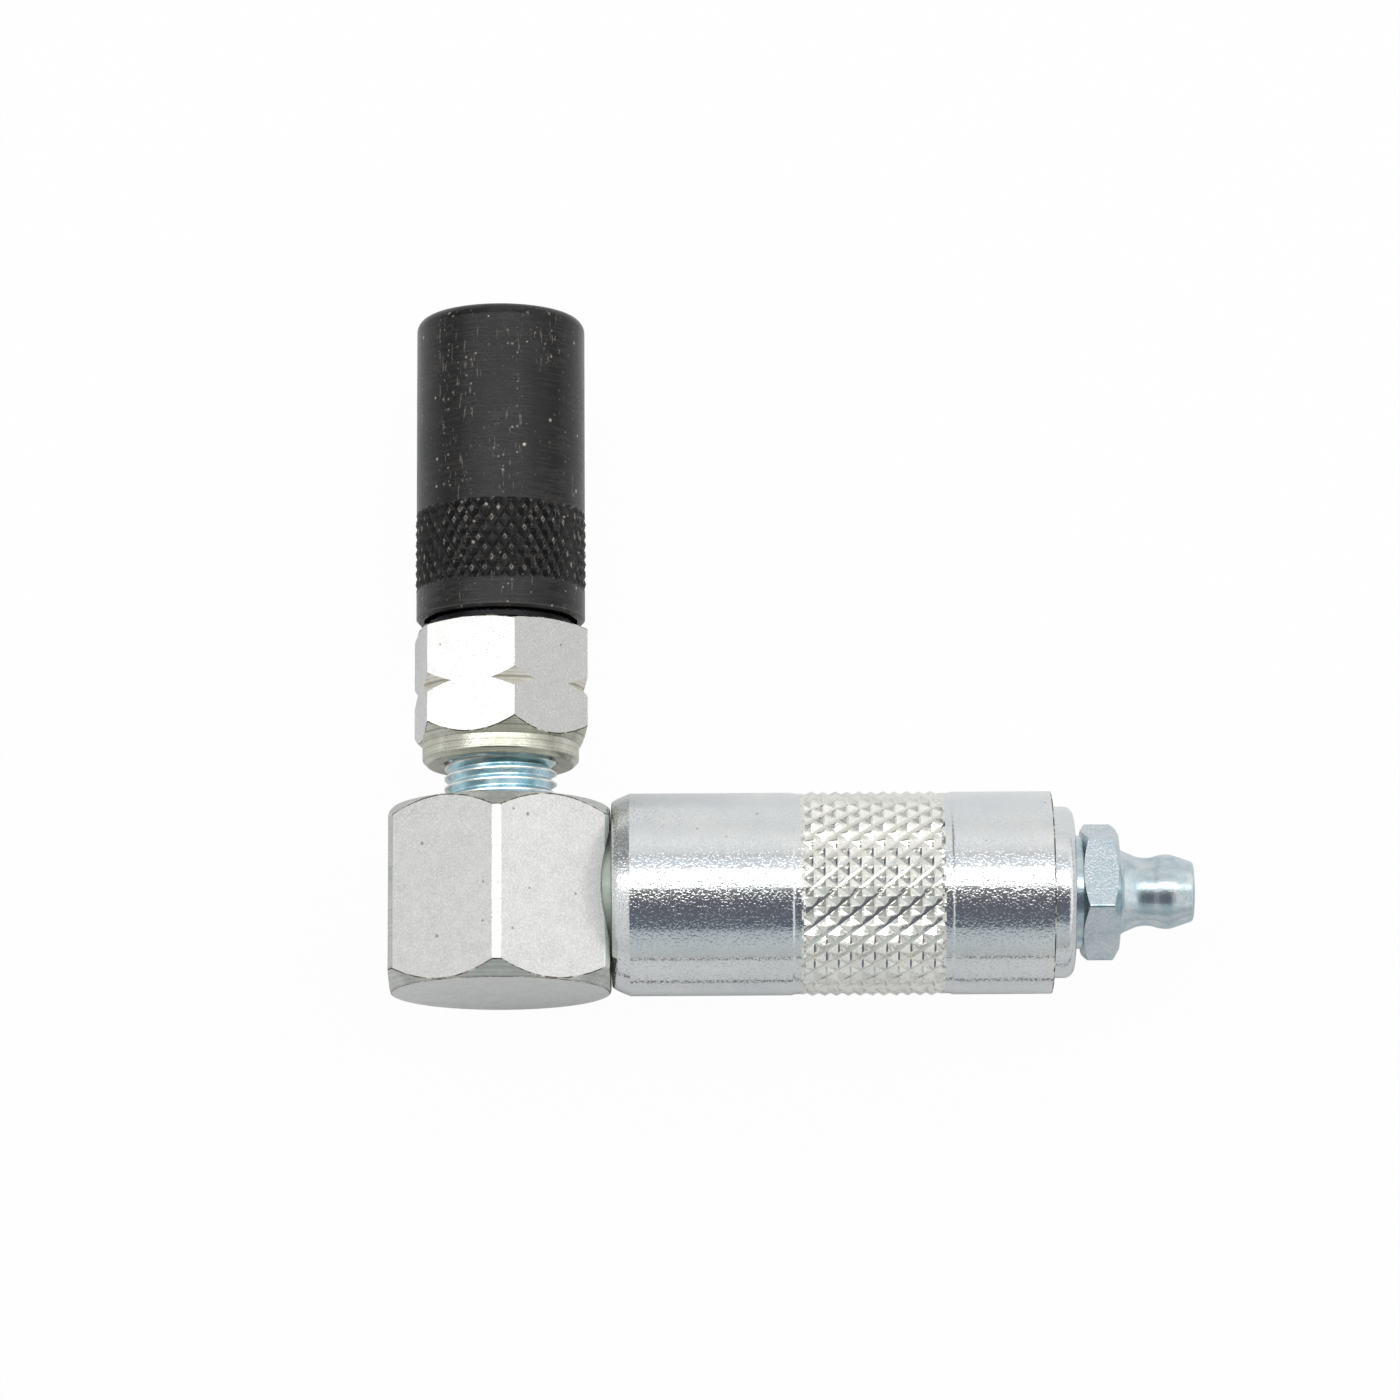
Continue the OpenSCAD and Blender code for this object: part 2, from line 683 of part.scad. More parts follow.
module coupler_body() {
    hex_r = hex_af / 2 / cos(30);
    collar_r = collar_d / 2;
    port_r = pipe_thread_d / 2 + thread_gap;
    groove_y = hex_from + hex_groove_at;
    front_bevel = 0.62;
    hex_limit = [
        [0, hex_from],
        [collar_r, hex_from],
        [hex_r, hex_from + hex_r - collar_r],
        [hex_r, groove_y - hex_groove_depth],
        [hex_r - hex_groove_depth, groove_y],
        [hex_r, groove_y + hex_groove_depth],
        [hex_r, hex_to - front_bevel],
        [hex_r - front_bevel / tan(30), hex_to],
        [0, hex_to]
    ];
    thread_r = body_thread_d / 2;
    thread_bevel = 0.5;
    groove_half = sleeve_ring_section / 2 + running_gap;
    core = concat(
        [[0, coupler_rear]],
        arc([collar_r - collar_round, coupler_rear + collar_round], collar_round, collar_round, -90, 0),
        [
            [collar_r, hex_from],
            [thread_r, hex_from],
            [thread_r, sleeve_ring_at - groove_half],
            [sleeve_ring_groove_r, sleeve_ring_at - groove_half],
            [sleeve_ring_groove_r, sleeve_ring_at + groove_half],
            [thread_r, sleeve_ring_at + groove_half],
            [thread_r, body_front - thread_bevel],
            [thread_r - thread_bevel, body_front],
            [0, body_front]
        ]
    );
    over = 1;
    port_bevel = 0.3;
    bore = [
        [0, coupler_rear - over],
        [port_r + over + port_bevel, coupler_rear - over],
        [port_r, coupler_rear + port_bevel],
        [port_r, coupler_port_floor],
        [valve_hole_d / 2, coupler_port_floor],
        [valve_hole_d / 2, valve_seat_at],
        [valve_bore_r, valve_seat_at + valve_bore_r - valve_hole_d / 2],
        [valve_bore_r, retainer_from],
        [piston_bore_r, retainer_from],
        [piston_bore_r, spring_floor],
        [spring_seat_r, spring_floor],
        [spring_seat_r, body_front + over],
        [0, body_front + over]
    ];
    color(zinc) on_coupler_axis() difference() {
        union() {
            turned(core);
            intersection() {
                rotate(30 + hex_turn) hex_bar(hex_af, hex_from, hex_to);
                turned(hex_limit);
            }
        }
        turned(bore);
    }
}

module valve_ball() {
    color(spring_steel) on_coupler_axis() translate([0, 0, valve_ball_at]) sphere(d = valve_ball_d);
}

module valve_spring() {
    color(spring_steel) on_coupler_axis()
        coil(valve_spring_r, valve_wire_d, valve_spring_from, retainer_from, 4, 16, 6);
}

module valve_retainer() {
    color(black_steel) on_coupler_axis()
        ring(piston_bore_d / 2, piston_bore_r - thread_gap / 2, retainer_from, retainer_to);
}

// Sleeve
module sleeve_o_ring() {
    color(rubber) on_coupler_axis()
        seal_ring(sleeve_ring_out_r - sleeve_ring_section / 2, sleeve_ring_section, sleeve_ring_at);
}

module sleeve() {
    r = sleeve_thread_r + sleeve_wall;
    knurl_from = sleeve_rear + sleeve_knurl_at;
    knurl_to = knurl_from + sleeve_knurl_len;
    knurl_r = r + sleeve_knurl_rise;
    rear_bevel = 0.25;
    profile = concat(
        [
            [r - rear_bevel, sleeve_rear],
            [r, sleeve_rear + rear_bevel],
            [r, knurl_from],
            [knurl_r, knurl_from + sleeve_knurl_rise],
            [knurl_r, knurl_to - sleeve_knurl_rise],
            [r, knurl_to]
        ],
        arc([r - sleeve_nose_round, mouth_y - sleeve_nose_round], sleeve_nose_round, sleeve_nose_round, 0, 90),
        [
            [mouth_d / 2 + mouth_bevel, mouth_y],
            [mouth_d / 2, mouth_y - mouth_bevel],
            [mouth_d / 2, mouth_floor],
            [chamber_d / 2, cone_base],
            [chamber_d / 2, sleeve_thread_to],
            [sleeve_thread_r, sleeve_thread_to],
            [sleeve_thread_r, ring_room_to],
            [sleeve_ring_out_r + running_gap, ring_room_to],
            [sleeve_ring_out_r + running_gap, sleeve_rear]
        ]
    );
    color(black_steel) on_coupler_axis() turned(profile);
}

// Jaws, numbered round the axis from +X
module jaw(number) {
    lip_r = jaw_lip_d / 2;
    cavity_r = jaw_cavity_d / 2;
    lip_to = jaw_front - jaw_lead_in;
    lip_from = lip_to - jaw_lip_len;
    cone_r = mouth_d / 2 - seat_gap / cos(cone_angle);
    front_r = cone_r + (mouth_floor - jaw_front) * tan(cone_angle);
    shoulder = mouth_floor - (jaw_d / 2 - cone_r) / tan(cone_angle);
    profile = [
        [cavity_r, jaw_rear],
        [jaw_d / 2, jaw_rear],
        [jaw_d / 2, shoulder],
        [front_r, jaw_front],
        [lip_r + jaw_lead_in, jaw_front],
        [lip_r, lip_to],
        [lip_r, lip_from],
        [cavity_r, lip_from - (cavity_r - lip_r)]
    ];
    color("silver") on_coupler_axis() rotate(90 * (number - 1) - 45) intersection() {
        turned(profile);
        translate([jaw_slit / 2, jaw_slit / 2, jaw_rear]) cube([jaw_d, jaw_d, jaw_len]);
    }
}

module jaw_spring() {
    color(spring_steel) on_coupler_axis()
        coil(jaw_spring_r, jaw_wire_d, spring_floor, washer_rear, 4.5);
}

module jaw_washer() {
    color(zinc) on_coupler_axis()
        ring(piston_d / 2 + 2 * running_gap, chamber_d / 2 - 3 * seat_gap, washer_rear, washer_front);
}

// Seal that the jaws draw the fitting against
module seal_piston() {
    tube_r = piston_d / 2;
    cup_r = jaw_cavity_d / 2 - 2 * seat_gap;
    ring_half = piston_ring_section / 2 + running_gap;
    ring_floor_r = tube_r - piston_ring_section;
    profile = [
        [piston_bore_d / 2, piston_rear],
        [tube_r, piston_rear],
        [tube_r, piston_ring_at - ring_half],
        [ring_floor_r, piston_ring_at - ring_half],
        [ring_floor_r, piston_ring_at + ring_half],
        [tube_r, piston_ring_at + ring_half],
        [tube_r, washer_front],
        [cup_r, washer_front],
        [cup_r, cup_front],
        [seal_d / 2 + running_gap, cup_front],
        [seal_d / 2 + running_gap, seal_rear],
        [piston_bore_d / 2, seal_rear]
    ];
    color("silver") on_coupler_axis() turned(profile);
}

module piston_o_ring() {
    color(rubber) on_coupler_axis()
        seal_ring(piston_d / 2 - piston_ring_section / 2 + running_gap / 2, piston_ring_section, piston_ring_at);
}

module nose_seal() {
    color(rubber) on_coupler_axis() ring(seal_hole_d / 2, seal_d / 2, seal_rear, seal_rear + seal_len);
}

barrel();
end_plug();
plug_o_ring();
thrust_washer();
inlet_nipple();
inlet_spring();
inlet_ball();
elbow();
spindle();
spindle_gasket();
spindle_o_ring();
spindle_backup_ring();
outlet_nipple();
coupler_body();
valve_ball();
valve_spring();
valve_retainer();
sleeve_o_ring();
sleeve();
for (number = [1 : 4])
    jaw(number);
jaw_spring();
jaw_washer();
seal_piston();
piston_o_ring();
nose_seal();
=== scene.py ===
"""Looks of the right-angle grease coupler: its turned, knurled, milled and threaded pieces, their finishes,
the studio light and the camera."""

import json
import math

import bmesh
import bpy
from mathutils import Matrix, Vector


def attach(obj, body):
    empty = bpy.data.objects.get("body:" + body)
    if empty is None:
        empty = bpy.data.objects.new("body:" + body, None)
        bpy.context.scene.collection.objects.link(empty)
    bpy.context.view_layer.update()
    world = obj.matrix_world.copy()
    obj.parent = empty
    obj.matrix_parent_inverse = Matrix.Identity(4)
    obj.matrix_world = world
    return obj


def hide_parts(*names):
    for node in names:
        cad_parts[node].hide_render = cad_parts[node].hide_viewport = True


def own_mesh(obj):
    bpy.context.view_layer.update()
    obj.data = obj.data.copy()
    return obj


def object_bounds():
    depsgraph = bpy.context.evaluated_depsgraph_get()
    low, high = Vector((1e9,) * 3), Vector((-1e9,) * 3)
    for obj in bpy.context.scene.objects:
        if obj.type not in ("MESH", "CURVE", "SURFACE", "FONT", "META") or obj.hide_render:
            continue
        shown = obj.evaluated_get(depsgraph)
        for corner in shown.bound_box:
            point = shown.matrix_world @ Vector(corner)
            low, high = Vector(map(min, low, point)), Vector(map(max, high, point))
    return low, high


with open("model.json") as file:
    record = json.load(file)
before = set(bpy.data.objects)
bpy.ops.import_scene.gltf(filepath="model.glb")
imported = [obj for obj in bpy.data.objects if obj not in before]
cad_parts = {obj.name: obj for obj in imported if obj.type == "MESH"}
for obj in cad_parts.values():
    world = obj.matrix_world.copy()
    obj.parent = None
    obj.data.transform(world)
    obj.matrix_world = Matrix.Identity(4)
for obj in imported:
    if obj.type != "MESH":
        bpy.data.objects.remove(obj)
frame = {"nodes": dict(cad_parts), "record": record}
solid_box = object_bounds()

MM = 0.001
HANDLE_AXIS_Y = -50.8

# Pieces are turned about Z in millimetres, then laid on one of the part's two axes.
# A station is a place along that axis in the row frame.
ON_COUPLER = Matrix.Rotation(math.radians(-90), 4, "X")
ON_HANDLE = Matrix.Translation((0, HANDLE_AXIS_Y, 0)) @ Matrix.Rotation(math.radians(90), 4, "Y")

# What is taken off a sharp edge, in millimetres.
BURR = 0.06

# Kinds of face, in the order of a piece's finishes.
TURNED, MILLED, EDGE, SPOT, SHADED = range(5)


# Workshop: turning, knurling, milling and threading

def held_straight(section, band):
    """Adds a corner close to both ends of each long edge, so that its faces stay straight in the light."""
    near = 2 * BURR
    corners = []
    for first, second in zip(section, section[1:] + section[:1]):
        corners.append(first)
        start = Vector(first[:2])
        run = Vector(second[:2]) - start
        if run.length - first[2] - second[2] > 1 and (first[1], second[1]) != band:
            for reach in (first[2] + near, run.length - second[2] - near):
                corners.append((*(start + run * reach / run.length), 0))
    return corners


def turned_sector(section, sectors, steps, band=None, cells=1):
    """Spins one sector of a closed section of (radius, station, rounding) corners, with a band cut into cells."""
    bm = bmesh.new()
    section = held_straight(section, band)
    corners = [bm.verts.new((radius, 0, station)) for radius, station, _ in section]
    for first, second in zip(corners, corners[1:] + corners[:1]):
        bm.edges.new((first, second))
    for corner, (_, _, rounding) in zip(corners, section):
        if rounding:
            segments = 14 if rounding > 0.4 else 5
            bmesh.ops.bevel(
                bm, geom=[corner], offset=rounding, affect="VERTICES", segments=segments, profile=0.5, material=-1
            )
    if band:
        edge = min(bm.edges, key=lambda e: sum(abs(v.co.z - z) for v, z in zip(by_station(e), band)))
        bmesh.ops.subdivide_edges(bm, edges=[edge], cuts=cells - 1)
    bmesh.ops.spin(
        bm, geom=bm.verts[:] + bm.edges[:], axis=(0, 0, 1), angle=math.tau / sectors, steps=steps
    )
    return bm


def by_station(edge):
    return sorted(edge.verts, key=lambda v: v.co.z)


def close_round(bm, sectors):
    """Copies a sector all the way round and joins the copies."""
    bmesh.ops.spin(
        bm, geom=bm.verts[:] + bm.edges[:] + bm.faces[:], axis=(0, 0, 1),
        angle=math.tau * (sectors - 1) / sectors, steps=sectors - 1, use_duplicate=True
    )
    bmesh.ops.remove_doubles(bm, verts=bm.verts[:], dist=1e-4)
    bmesh.ops.recalc_face_normals(bm, faces=bm.faces[:])
    return bm


def turned_blank(section, sectors=36, steps=10):
    return close_round(turned_sector(section, sectors, steps), sectors)


def press_knurl(bm, band, teeth, lead, peak_r, end_r, deep, shallow, fade, floor=0.0):
    """Presses two crossing sets of grooves into a sector's band, one set deeper and with a flat floor."""

    def phases(co):
        turn = math.atan2(co.y, co.x) * teeth / math.tau
        along = (co.z - band[0]) / lead
        return turn + along, turn - along

    def rise(phase, floor):
        """Height between two grooves, from 0 on a groove's floor to 1 halfway."""
        return max(0, abs(phase - round(phase)) - floor) / (0.5 - floor)

    def on_fold(phase, floor):
        away = abs(phase - round(phase))
        return min(abs(away - floor), abs(away - 0.5)) < 1e-2

    floors = (floor, 0)
    for v in bm.verts:
        inside = min(v.co.z - band[0], band[1] - v.co.z)
        if inside > 1e-4 and v.co.xy.length > end_r - 0.01:
            a, b = (rise(phase, floor) for phase, floor in zip(phases(v.co), floors))
            height = min(deep * a, deep - shallow + shallow * b) - deep
            radius = end_r + (peak_r + height - end_r) * min(1, inside / fade)
            v.co.xy *= radius / v.co.xy.length
    for face in bm.faces[:]:
        middle = face.calc_center_median()
        if not band[0] < middle.z < band[1] or middle.xy.length <= end_r - 2 * deep:
            continue
        corners = face.verts[:]
        folds = []
        for first, second in ((0, 2), (1, 3)):
            for rank, (p, q) in enumerate(zip(phases(corners[first].co), phases(corners[second].co))):
                if abs(p - q) < 1e-3 and on_fold(p, floors[rank]):
                    folds.append((rank, first, second))
        if folds:
            _, first, second = min(folds)
            bmesh.utils.face_split(face, corners[first], corners[second])
    for edge in bm.edges:
        for z in band:
            if all(abs(v.co.z - z) < 1e-4 for v in edge.verts):
                edge.smooth = False


def mill_flats(bm, across, turn):
    """Mills six flats on a turned blank, the first one square to the direction at turn degrees."""
    for k in range(6):
        angle = math.radians(turn + 60 * k)
        outward = Vector((math.cos(angle), math.sin(angle), 0))
        cut = bmesh.ops.bisect_plane(
            bm, geom=bm.verts[:] + bm.edges[:] + bm.faces[:], dist=1e-5,
            plane_co=outward * across / 2, plane_no=outward, clear_outer=True
        )
        rim = [e for e in cut["geom_cut"] if isinstance(e, bmesh.types.BMEdge)]
        bmesh.ops.edgeloop_fill(bm, edges=rim)
    bmesh.ops.recalc_face_normals(bm, faces=bm.faces[:])


def break_edges(bm, width, segments, where):
    """Takes the burr off the sharp outer edges for which where() is true, and marks the new faces."""
    sharp = [
        e for e in bm.edges
        if len(e.link_faces) == 2 and e.is_convex and e.calc_face_angle(0) > math.radians(20) and where(e)
    ]
    broken = bmesh.ops.bevel(
        bm, geom=sharp, offset=width, affect="EDGES", segments=segments, profile=0.5, material=-1,
        clamp_overlap=False
    )
    for face in broken["faces"]:
        face.material_index = EDGE


def threaded_stem(crest_r, root_r, pitch, start, end, bore_r, steps=72):
    """A right-hand V thread with square ends and a bore."""
    bm = bmesh.new()
    flank = 0.4 * pitch
    crest = 0.12 * pitch
    profile = [
        (root_r, 0), (crest_r, flank), (crest_r, flank + crest), (root_r, 2 * flank + crest), (root_r, pitch)
    ]
    points = [bm.verts.new((radius, 0, start - 1.5 * pitch + rise)) for radius, rise in profile]
    for one, two in zip(points, points[1:]):
        bm.edges.new((one, two))
    bmesh.ops.spin(
        bm, geom=bm.verts[:] + bm.edges[:], axis=(0, 0, 1), dvec=(0, 0, pitch / steps),
        angle=math.tau, steps=steps
    )
    bmesh.ops.spin(
        bm, geom=bm.verts[:] + bm.edges[:] + bm.faces[:], axis=(0, 0, 1), dvec=(0, 0, pitch), angle=0,
        steps=math.ceil((end - start) / pitch) + 2, use_duplicate=True
    )
    bmesh.ops.remove_doubles(bm, verts=bm.verts[:], dist=1e-3)
    for station, side in ((start, -1), (end, 1)):
        bmesh.ops.bisect_plane(
            bm, geom=bm.verts[:] + bm.edges[:] + bm.faces[:], dist=1e-5,
            plane_co=(0, 0, station), plane_no=(0, 0, side), clear_outer=True
        )
    rims = {}
    for z in (start, end):
        rims[z] = [e for e in bm.edges if e.is_boundary and abs(e.verts[0].co.z - z) < 1e-3]
    bores = {}
    for z in (start, end):
        ring = bmesh.ops.create_circle(
            bm, segments=steps, radius=bore_r, matrix=Matrix.Translation((0, 0, z))
        )["verts"]
        bores[z] = list(dict.fromkeys(e for v in ring for e in v.link_edges))
        bmesh.ops.bridge_loops(bm, edges=rims[z] + bores[z])
    bmesh.ops.bridge_loops(bm, edges=bores[start] + bores[end])
    bmesh.ops.recalc_face_normals(bm, faces=bm.faces[:])
    return bm


def cut_away(bm, cutter):
    """Takes the cutter's solid out of a piece; both are used up."""
    shapes = []
    for shape in (bm, cutter):
        mesh = bpy.data.meshes.new("cut")
        shape.to_mesh(mesh)
        shape.free()
        shapes.append(bpy.data.objects.new("cut", mesh))
        bpy.context.scene.collection.objects.link(shapes[-1])
    work, tool = shapes
    boolean = work.modifiers.new("cut", "BOOLEAN")
    boolean.operation = "DIFFERENCE"
    boolean.solver = "EXACT"
    boolean.object = tool
    bpy.context.view_layer.update()
    result = bmesh.new()
    result.from_object(work, bpy.context.evaluated_depsgraph_get())
    for shape in shapes:
        mesh = shape.data
        bpy.data.objects.remove(shape)
        bpy.data.meshes.remove(mesh)
    return result


def mark_milled(bm, sawn=None):
    """Marks the large flats, and the sawn end that looks along the given direction, as milled."""
    large = 8
    for face in bm.faces:
        if face.calc_area() > large or sawn and face.normal.dot(sawn) > 0.999:
            face.material_index = MILLED


def finished_piece(name, bm, placing, node, body, slot, *finishes):
    """Lays a piece on its axis in metres, gives it one finish for each kind of face, and lets it ride a body and
    stand for its CAD node."""
    for face in bm.faces:
        face.smooth = True
    for edge in bm.edges:
        flat = any(face.material_index in (MILLED, EDGE) for face in edge.link_faces)
        if flat or edge.calc_face_angle(0) > math.radians(10):
            edge.smooth = False
    bm.transform(Matrix.Scale(MM, 4) @ placing)
    mesh = bpy.data.meshes.new(name)
    bm.to_mesh(mesh)
    bm.free()
    for finish in finishes:
        mesh.materials.append(finish)
    piece = bpy.data.objects.new(name, mesh)
    bpy.context.scene.collection.objects.link(piece)
    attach(piece, body)
    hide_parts(node)


# Effects that the finishes share

def add_node(tree, kind, sockets=None, **settings):
    node = tree.nodes.new(kind)
    for name, value in settings.items():
        setattr(node, name, value)
    for name, value in (sockets or {}).items():
        if isinstance(value, bpy.types.NodeSocket):
            tree.links.new(value, node.inputs[name])
        else:
            node.inputs[name].default_value = value
    return node


def math_node(tree, operation, first, second=0.0):
    return add_node(tree, "ShaderNodeMath", {0: first, 1: second}, operation=operation).outputs[0]


def times(tree, first, second):
    return math_node(tree, "MULTIPLY", first, second)


def vector_node(tree, operation, first, second=(0.0, 0.0, 0.0)):
    return add_node(tree, "ShaderNodeVectorMath", {0: first, 1: second}, operation=operation)


def blend_colours(tree, amount, first, second):
    node = add_node(tree, "ShaderNodeMix", data_type="RGBA")
    for index, value in ((0, amount), (6, first), (7, second)):
        if isinstance(value, bpy.types.NodeSocket):
            tree.links.new(value, node.inputs[index])
        else:
            node.inputs[index].default_value = value if index == 0 else (*value, 1)
    return node.outputs[2]


def spread(tree, value, low, high, to_low=0.0, to_high=1.0):
    return add_node(
        tree, "ShaderNodeMapRange",
        {"Value": value, "From Min": low, "From Max": high, "To Min": to_low, "To Max": to_high}
    ).outputs["Result"]


def between(tree, value, low, high, soft):
    """1 between low and high and 0 outside, over soft edges."""
    return times(
        tree, spread(tree, value, low - soft, low + soft), spread(tree, value, high + soft, high - soft)
    )


def new_effect(name, inputs, output):
    tree = bpy.data.node_groups.new(name, "ShaderNodeTree")
    for label, value in inputs.items():
        kind = "NodeSocketVector" if isinstance(value, tuple) else "NodeSocketFloat"
        tree.interface.new_socket(label, in_out="INPUT", socket_type=kind).default_value = value
    tree.interface.new_socket(output, in_out="OUTPUT", socket_type="NodeSocketFloat")
    given = tree.nodes.new("NodeGroupInput")
    return tree, given.outputs, tree.nodes.new("NodeGroupOutput").inputs[output]


def place_of(tree):
    return tree.nodes.new("ShaderNodeTexCoord").outputs["Object"]


def noise_at(tree, place, size, detail, roughness=0.5):
    return add_node(
        tree, "ShaderNodeTexNoise",
        {
            "Vector": place, "Scale": math_node(tree, "DIVIDE", 1.0, size), "Detail": detail,
            "Roughness": roughness
        }
    ).outputs["Fac"]


def make_grain():
    """Fine orange-peel of the plating, as a height; a higher floor leaves fewer and steeper bumps."""
    tree, given, out = new_effect("plating_grain", {"Size": 0.0002, "Floor": 0.2}, "Height")
    noise = noise_at(tree, place_of(tree), given["Size"], 1.5)
    tree.links.new(spread(tree, noise, given["Floor"], 0.85), out)
    return tree


def make_mottle():
    """Cloudy patches of the plating, from 0 to 1."""
    tree, given, out = new_effect("plating_mottle", {"Size": 0.004}, "Mottle")
    tree.links.new(spread(tree, noise_at(tree, place_of(tree), given["Size"], 6.0, 0.62), 0.3, 0.7), out)
    return tree


def make_tool_lines():
    """Fine rings left by the turning tool, from 0 to 1 along the piece's axis."""
    tree, given, out = new_effect("tool_lines", {"Axis": (1.0, 0.0, 0.0), "Pitch": 0.0002}, "Lines")
    along = vector_node(tree, "DOT_PRODUCT", place_of(tree), given["Axis"]).outputs["Value"]
    noise = add_node(
        tree, "ShaderNodeTexNoise",
        {"W": math_node(tree, "DIVIDE", along, given["Pitch"]), "Scale": 1.0, "Detail": 3.0, "Roughness": 0.7},
        noise_dimensions="1D"
    )
    tree.links.new(noise.outputs["Fac"], out)
    return tree


def make_specks():
    """Scattered specks of many sizes, 1 on a speck."""
    tree, given, out = new_effect("specks", {"Spacing": 0.001, "Size": 0.12, "Share": 0.2}, "Specks")
    cells = add_node(
        tree, "ShaderNodeTexVoronoi",
        {"Vector": place_of(tree), "Scale": math_node(tree, "DIVIDE", 1.0, given["Spacing"])}
    ).outputs
    draw = add_node(tree, "ShaderNodeSeparateColor", {"Color": cells["Color"]}).outputs["Red"]
    grown = math_node(tree, "SUBTRACT", 1.0, math_node(tree, "DIVIDE", draw, given["Share"]))
    near = math_node(tree, "DIVIDE", cells["Distance"], given["Size"])
    tree.links.new(spread(tree, math_node(tree, "SUBTRACT", grown, near), 0.0, 0.35), out)
    return tree


def make_scuffs():
    """Short scratches along the longer side of their size, 1 on a scratch."""
    tree, given, out = new_effect("scuffs", {"Stretch": (8000.0, 900.0, 8000.0), "Floor": 0.66}, "Scuffs")
    place = vector_node(tree, "MULTIPLY", place_of(tree), given["Stretch"]).outputs["Vector"]
    noise = noise_at(tree, place, 1.0, 2.0)
    tree.links.new(spread(tree, noise, given["Floor"], math_node(tree, "ADD", given["Floor"], 0.06)), out)
    return tree


def make_station():
    """Place along an axis, in metres."""
    tree, given, out = new_effect("station", {"Axis": (0.0, 1.0, 0.0)}, "Along")
    tree.links.new(vector_node(tree, "DOT_PRODUCT", place_of(tree), given["Axis"]).outputs["Value"], out)
    return tree


def make_radius():
    """Distance from an axis through the origin, in metres."""
    tree, given, out = new_effect("radius", {"Axis": (0.0, 1.0, 0.0)}, "Radius")
    across = vector_node(tree, "CROSS_PRODUCT", place_of(tree), given["Axis"]).outputs["Vector"]
    tree.links.new(vector_node(tree, "LENGTH", across).outputs["Value"], out)
    return tree


GRAIN = make_grain()
MOTTLE = make_mottle()
TOOL_LINES = make_tool_lines()
SPECKS = make_specks()
SCUFFS = make_scuffs()
STATION = make_station()
RADIUS = make_radius()

X_AXIS = (1.0, 0.0, 0.0)
Y_AXIS = (0.0, 1.0, 0.0)


def effect(tree, group, **values):
    node = tree.nodes.new("ShaderNodeGroup")
    node.node_tree = group
    for name, value in values.items():
        node.inputs[name].default_value = value
    return node.outputs[0]


def new_finish(name, metallic=0.0, ior=1.5):
    finish = bpy.data.materials.new(name)
    finish.use_nodes = True
    tree = finish.node_tree
    shader = tree.nodes["Principled BSDF"]
    shader.inputs["Metallic"].default_value = metallic
    shader.inputs["IOR"].default_value = ior
    return finish, tree, shader


def set_relief(tree, shader, height, depth):
    bump = add_node(tree, "ShaderNodeBump", {"Height": height, "Strength": 1.0, "Distance": depth})
    tree.links.new(bump.outputs["Normal"], shader.inputs["Normal"])


# Finishes

GLINT = (1.0, 1.0, 0.98)
DIRT = (0.16, 0.15, 0.11)
PIT = (0.2, 0.19, 0.16)
GAP_SHADE_COLOUR = (0.02, 0.02, 0.022)


def zinc_plate(
    name, dull, bright, rough, grain, floor, relief, cloud, axis=X_AXIS, lines=0.1, glint=0.0, pits=0.0,
    streaks=0.0, shade_from=None, shade_to=None, metallic=1.0
):
    """Zinc plate over turned, milled or drawn steel, from dull to bright in cloudy patches, with bright glints on
    its grain, dark pits, rings of the tool, and painted shade that grows darker from one station to another."""
    finish, tree, shader = new_finish(name, metallic=metallic)
    mottle = effect(tree, MOTTLE, Size=cloud)
    rings = effect(tree, TOOL_LINES, Axis=axis, Pitch=0.00022)
    bumps = effect(tree, GRAIN, Size=grain, Floor=floor)
    colour = blend_colours(tree, mottle, dull, bright)
    if glint:
        colour = blend_colours(tree, spread(tree, bumps, 0.35, 0.7, 0.0, glint), colour, GLINT)
    if streaks:
        colour = blend_colours(tree, spread(tree, rings, 0.55, 0.3, 0.0, streaks), colour, DIRT)
    if pits:
        specks = effect(tree, SPECKS, Spacing=0.0013, Size=0.16, Share=0.35)
        colour = blend_colours(tree, times(tree, specks, pits), colour, PIT)
    # Painted shade: near black past the given station, for a gap that lies in shade.
    if shade_from:
        along = effect(tree, STATION, Axis=axis)
        colour = blend_colours(tree, spread(tree, along, shade_from * MM, shade_to * MM), colour, GAP_SHADE_COLOUR)
    tree.links.new(colour, shader.inputs["Base Color"])
    tree.links.new(spread(tree, mottle, 0, 1, rough[1], rough[0]), shader.inputs["Roughness"])
    set_relief(tree, shader, math_node(tree, "ADD", bumps, times(tree, rings, lines)), relief)
    return finish


def dark_edge(name):
    """Edge that is dark, with pale patches here and there."""
    finish, tree, shader = new_finish(name, metallic=1.0)
    mottle = effect(tree, MOTTLE, Size=0.0009)
    colour = blend_colours(tree, spread(tree, mottle, 0.4, 0.85), (0.09, 0.08, 0.06), (0.95, 0.92, 0.82))
    tree.links.new(colour, shader.inputs["Base Color"])
    tree.links.new(spread(tree, mottle, 0, 1, 0.4, 0.25), shader.inputs["Roughness"])
    return finish


def plain_metal(name, dull, bright, rough, axis):
    """Bare turned metal with tool rings."""
    finish, tree, shader = new_finish(name, metallic=1.0)
    mottle = effect(tree, MOTTLE, Size=0.003)
    rings = effect(tree, TOOL_LINES, Axis=axis, Pitch=0.00015)
    tree.links.new(blend_colours(tree, mottle, dull, bright), shader.inputs["Base Color"])
    tree.links.new(spread(tree, rings, 0.2, 0.8, rough[0], rough[1]), shader.inputs["Roughness"])
    set_relief(tree, shader, rings, 0.000002)
    return finish


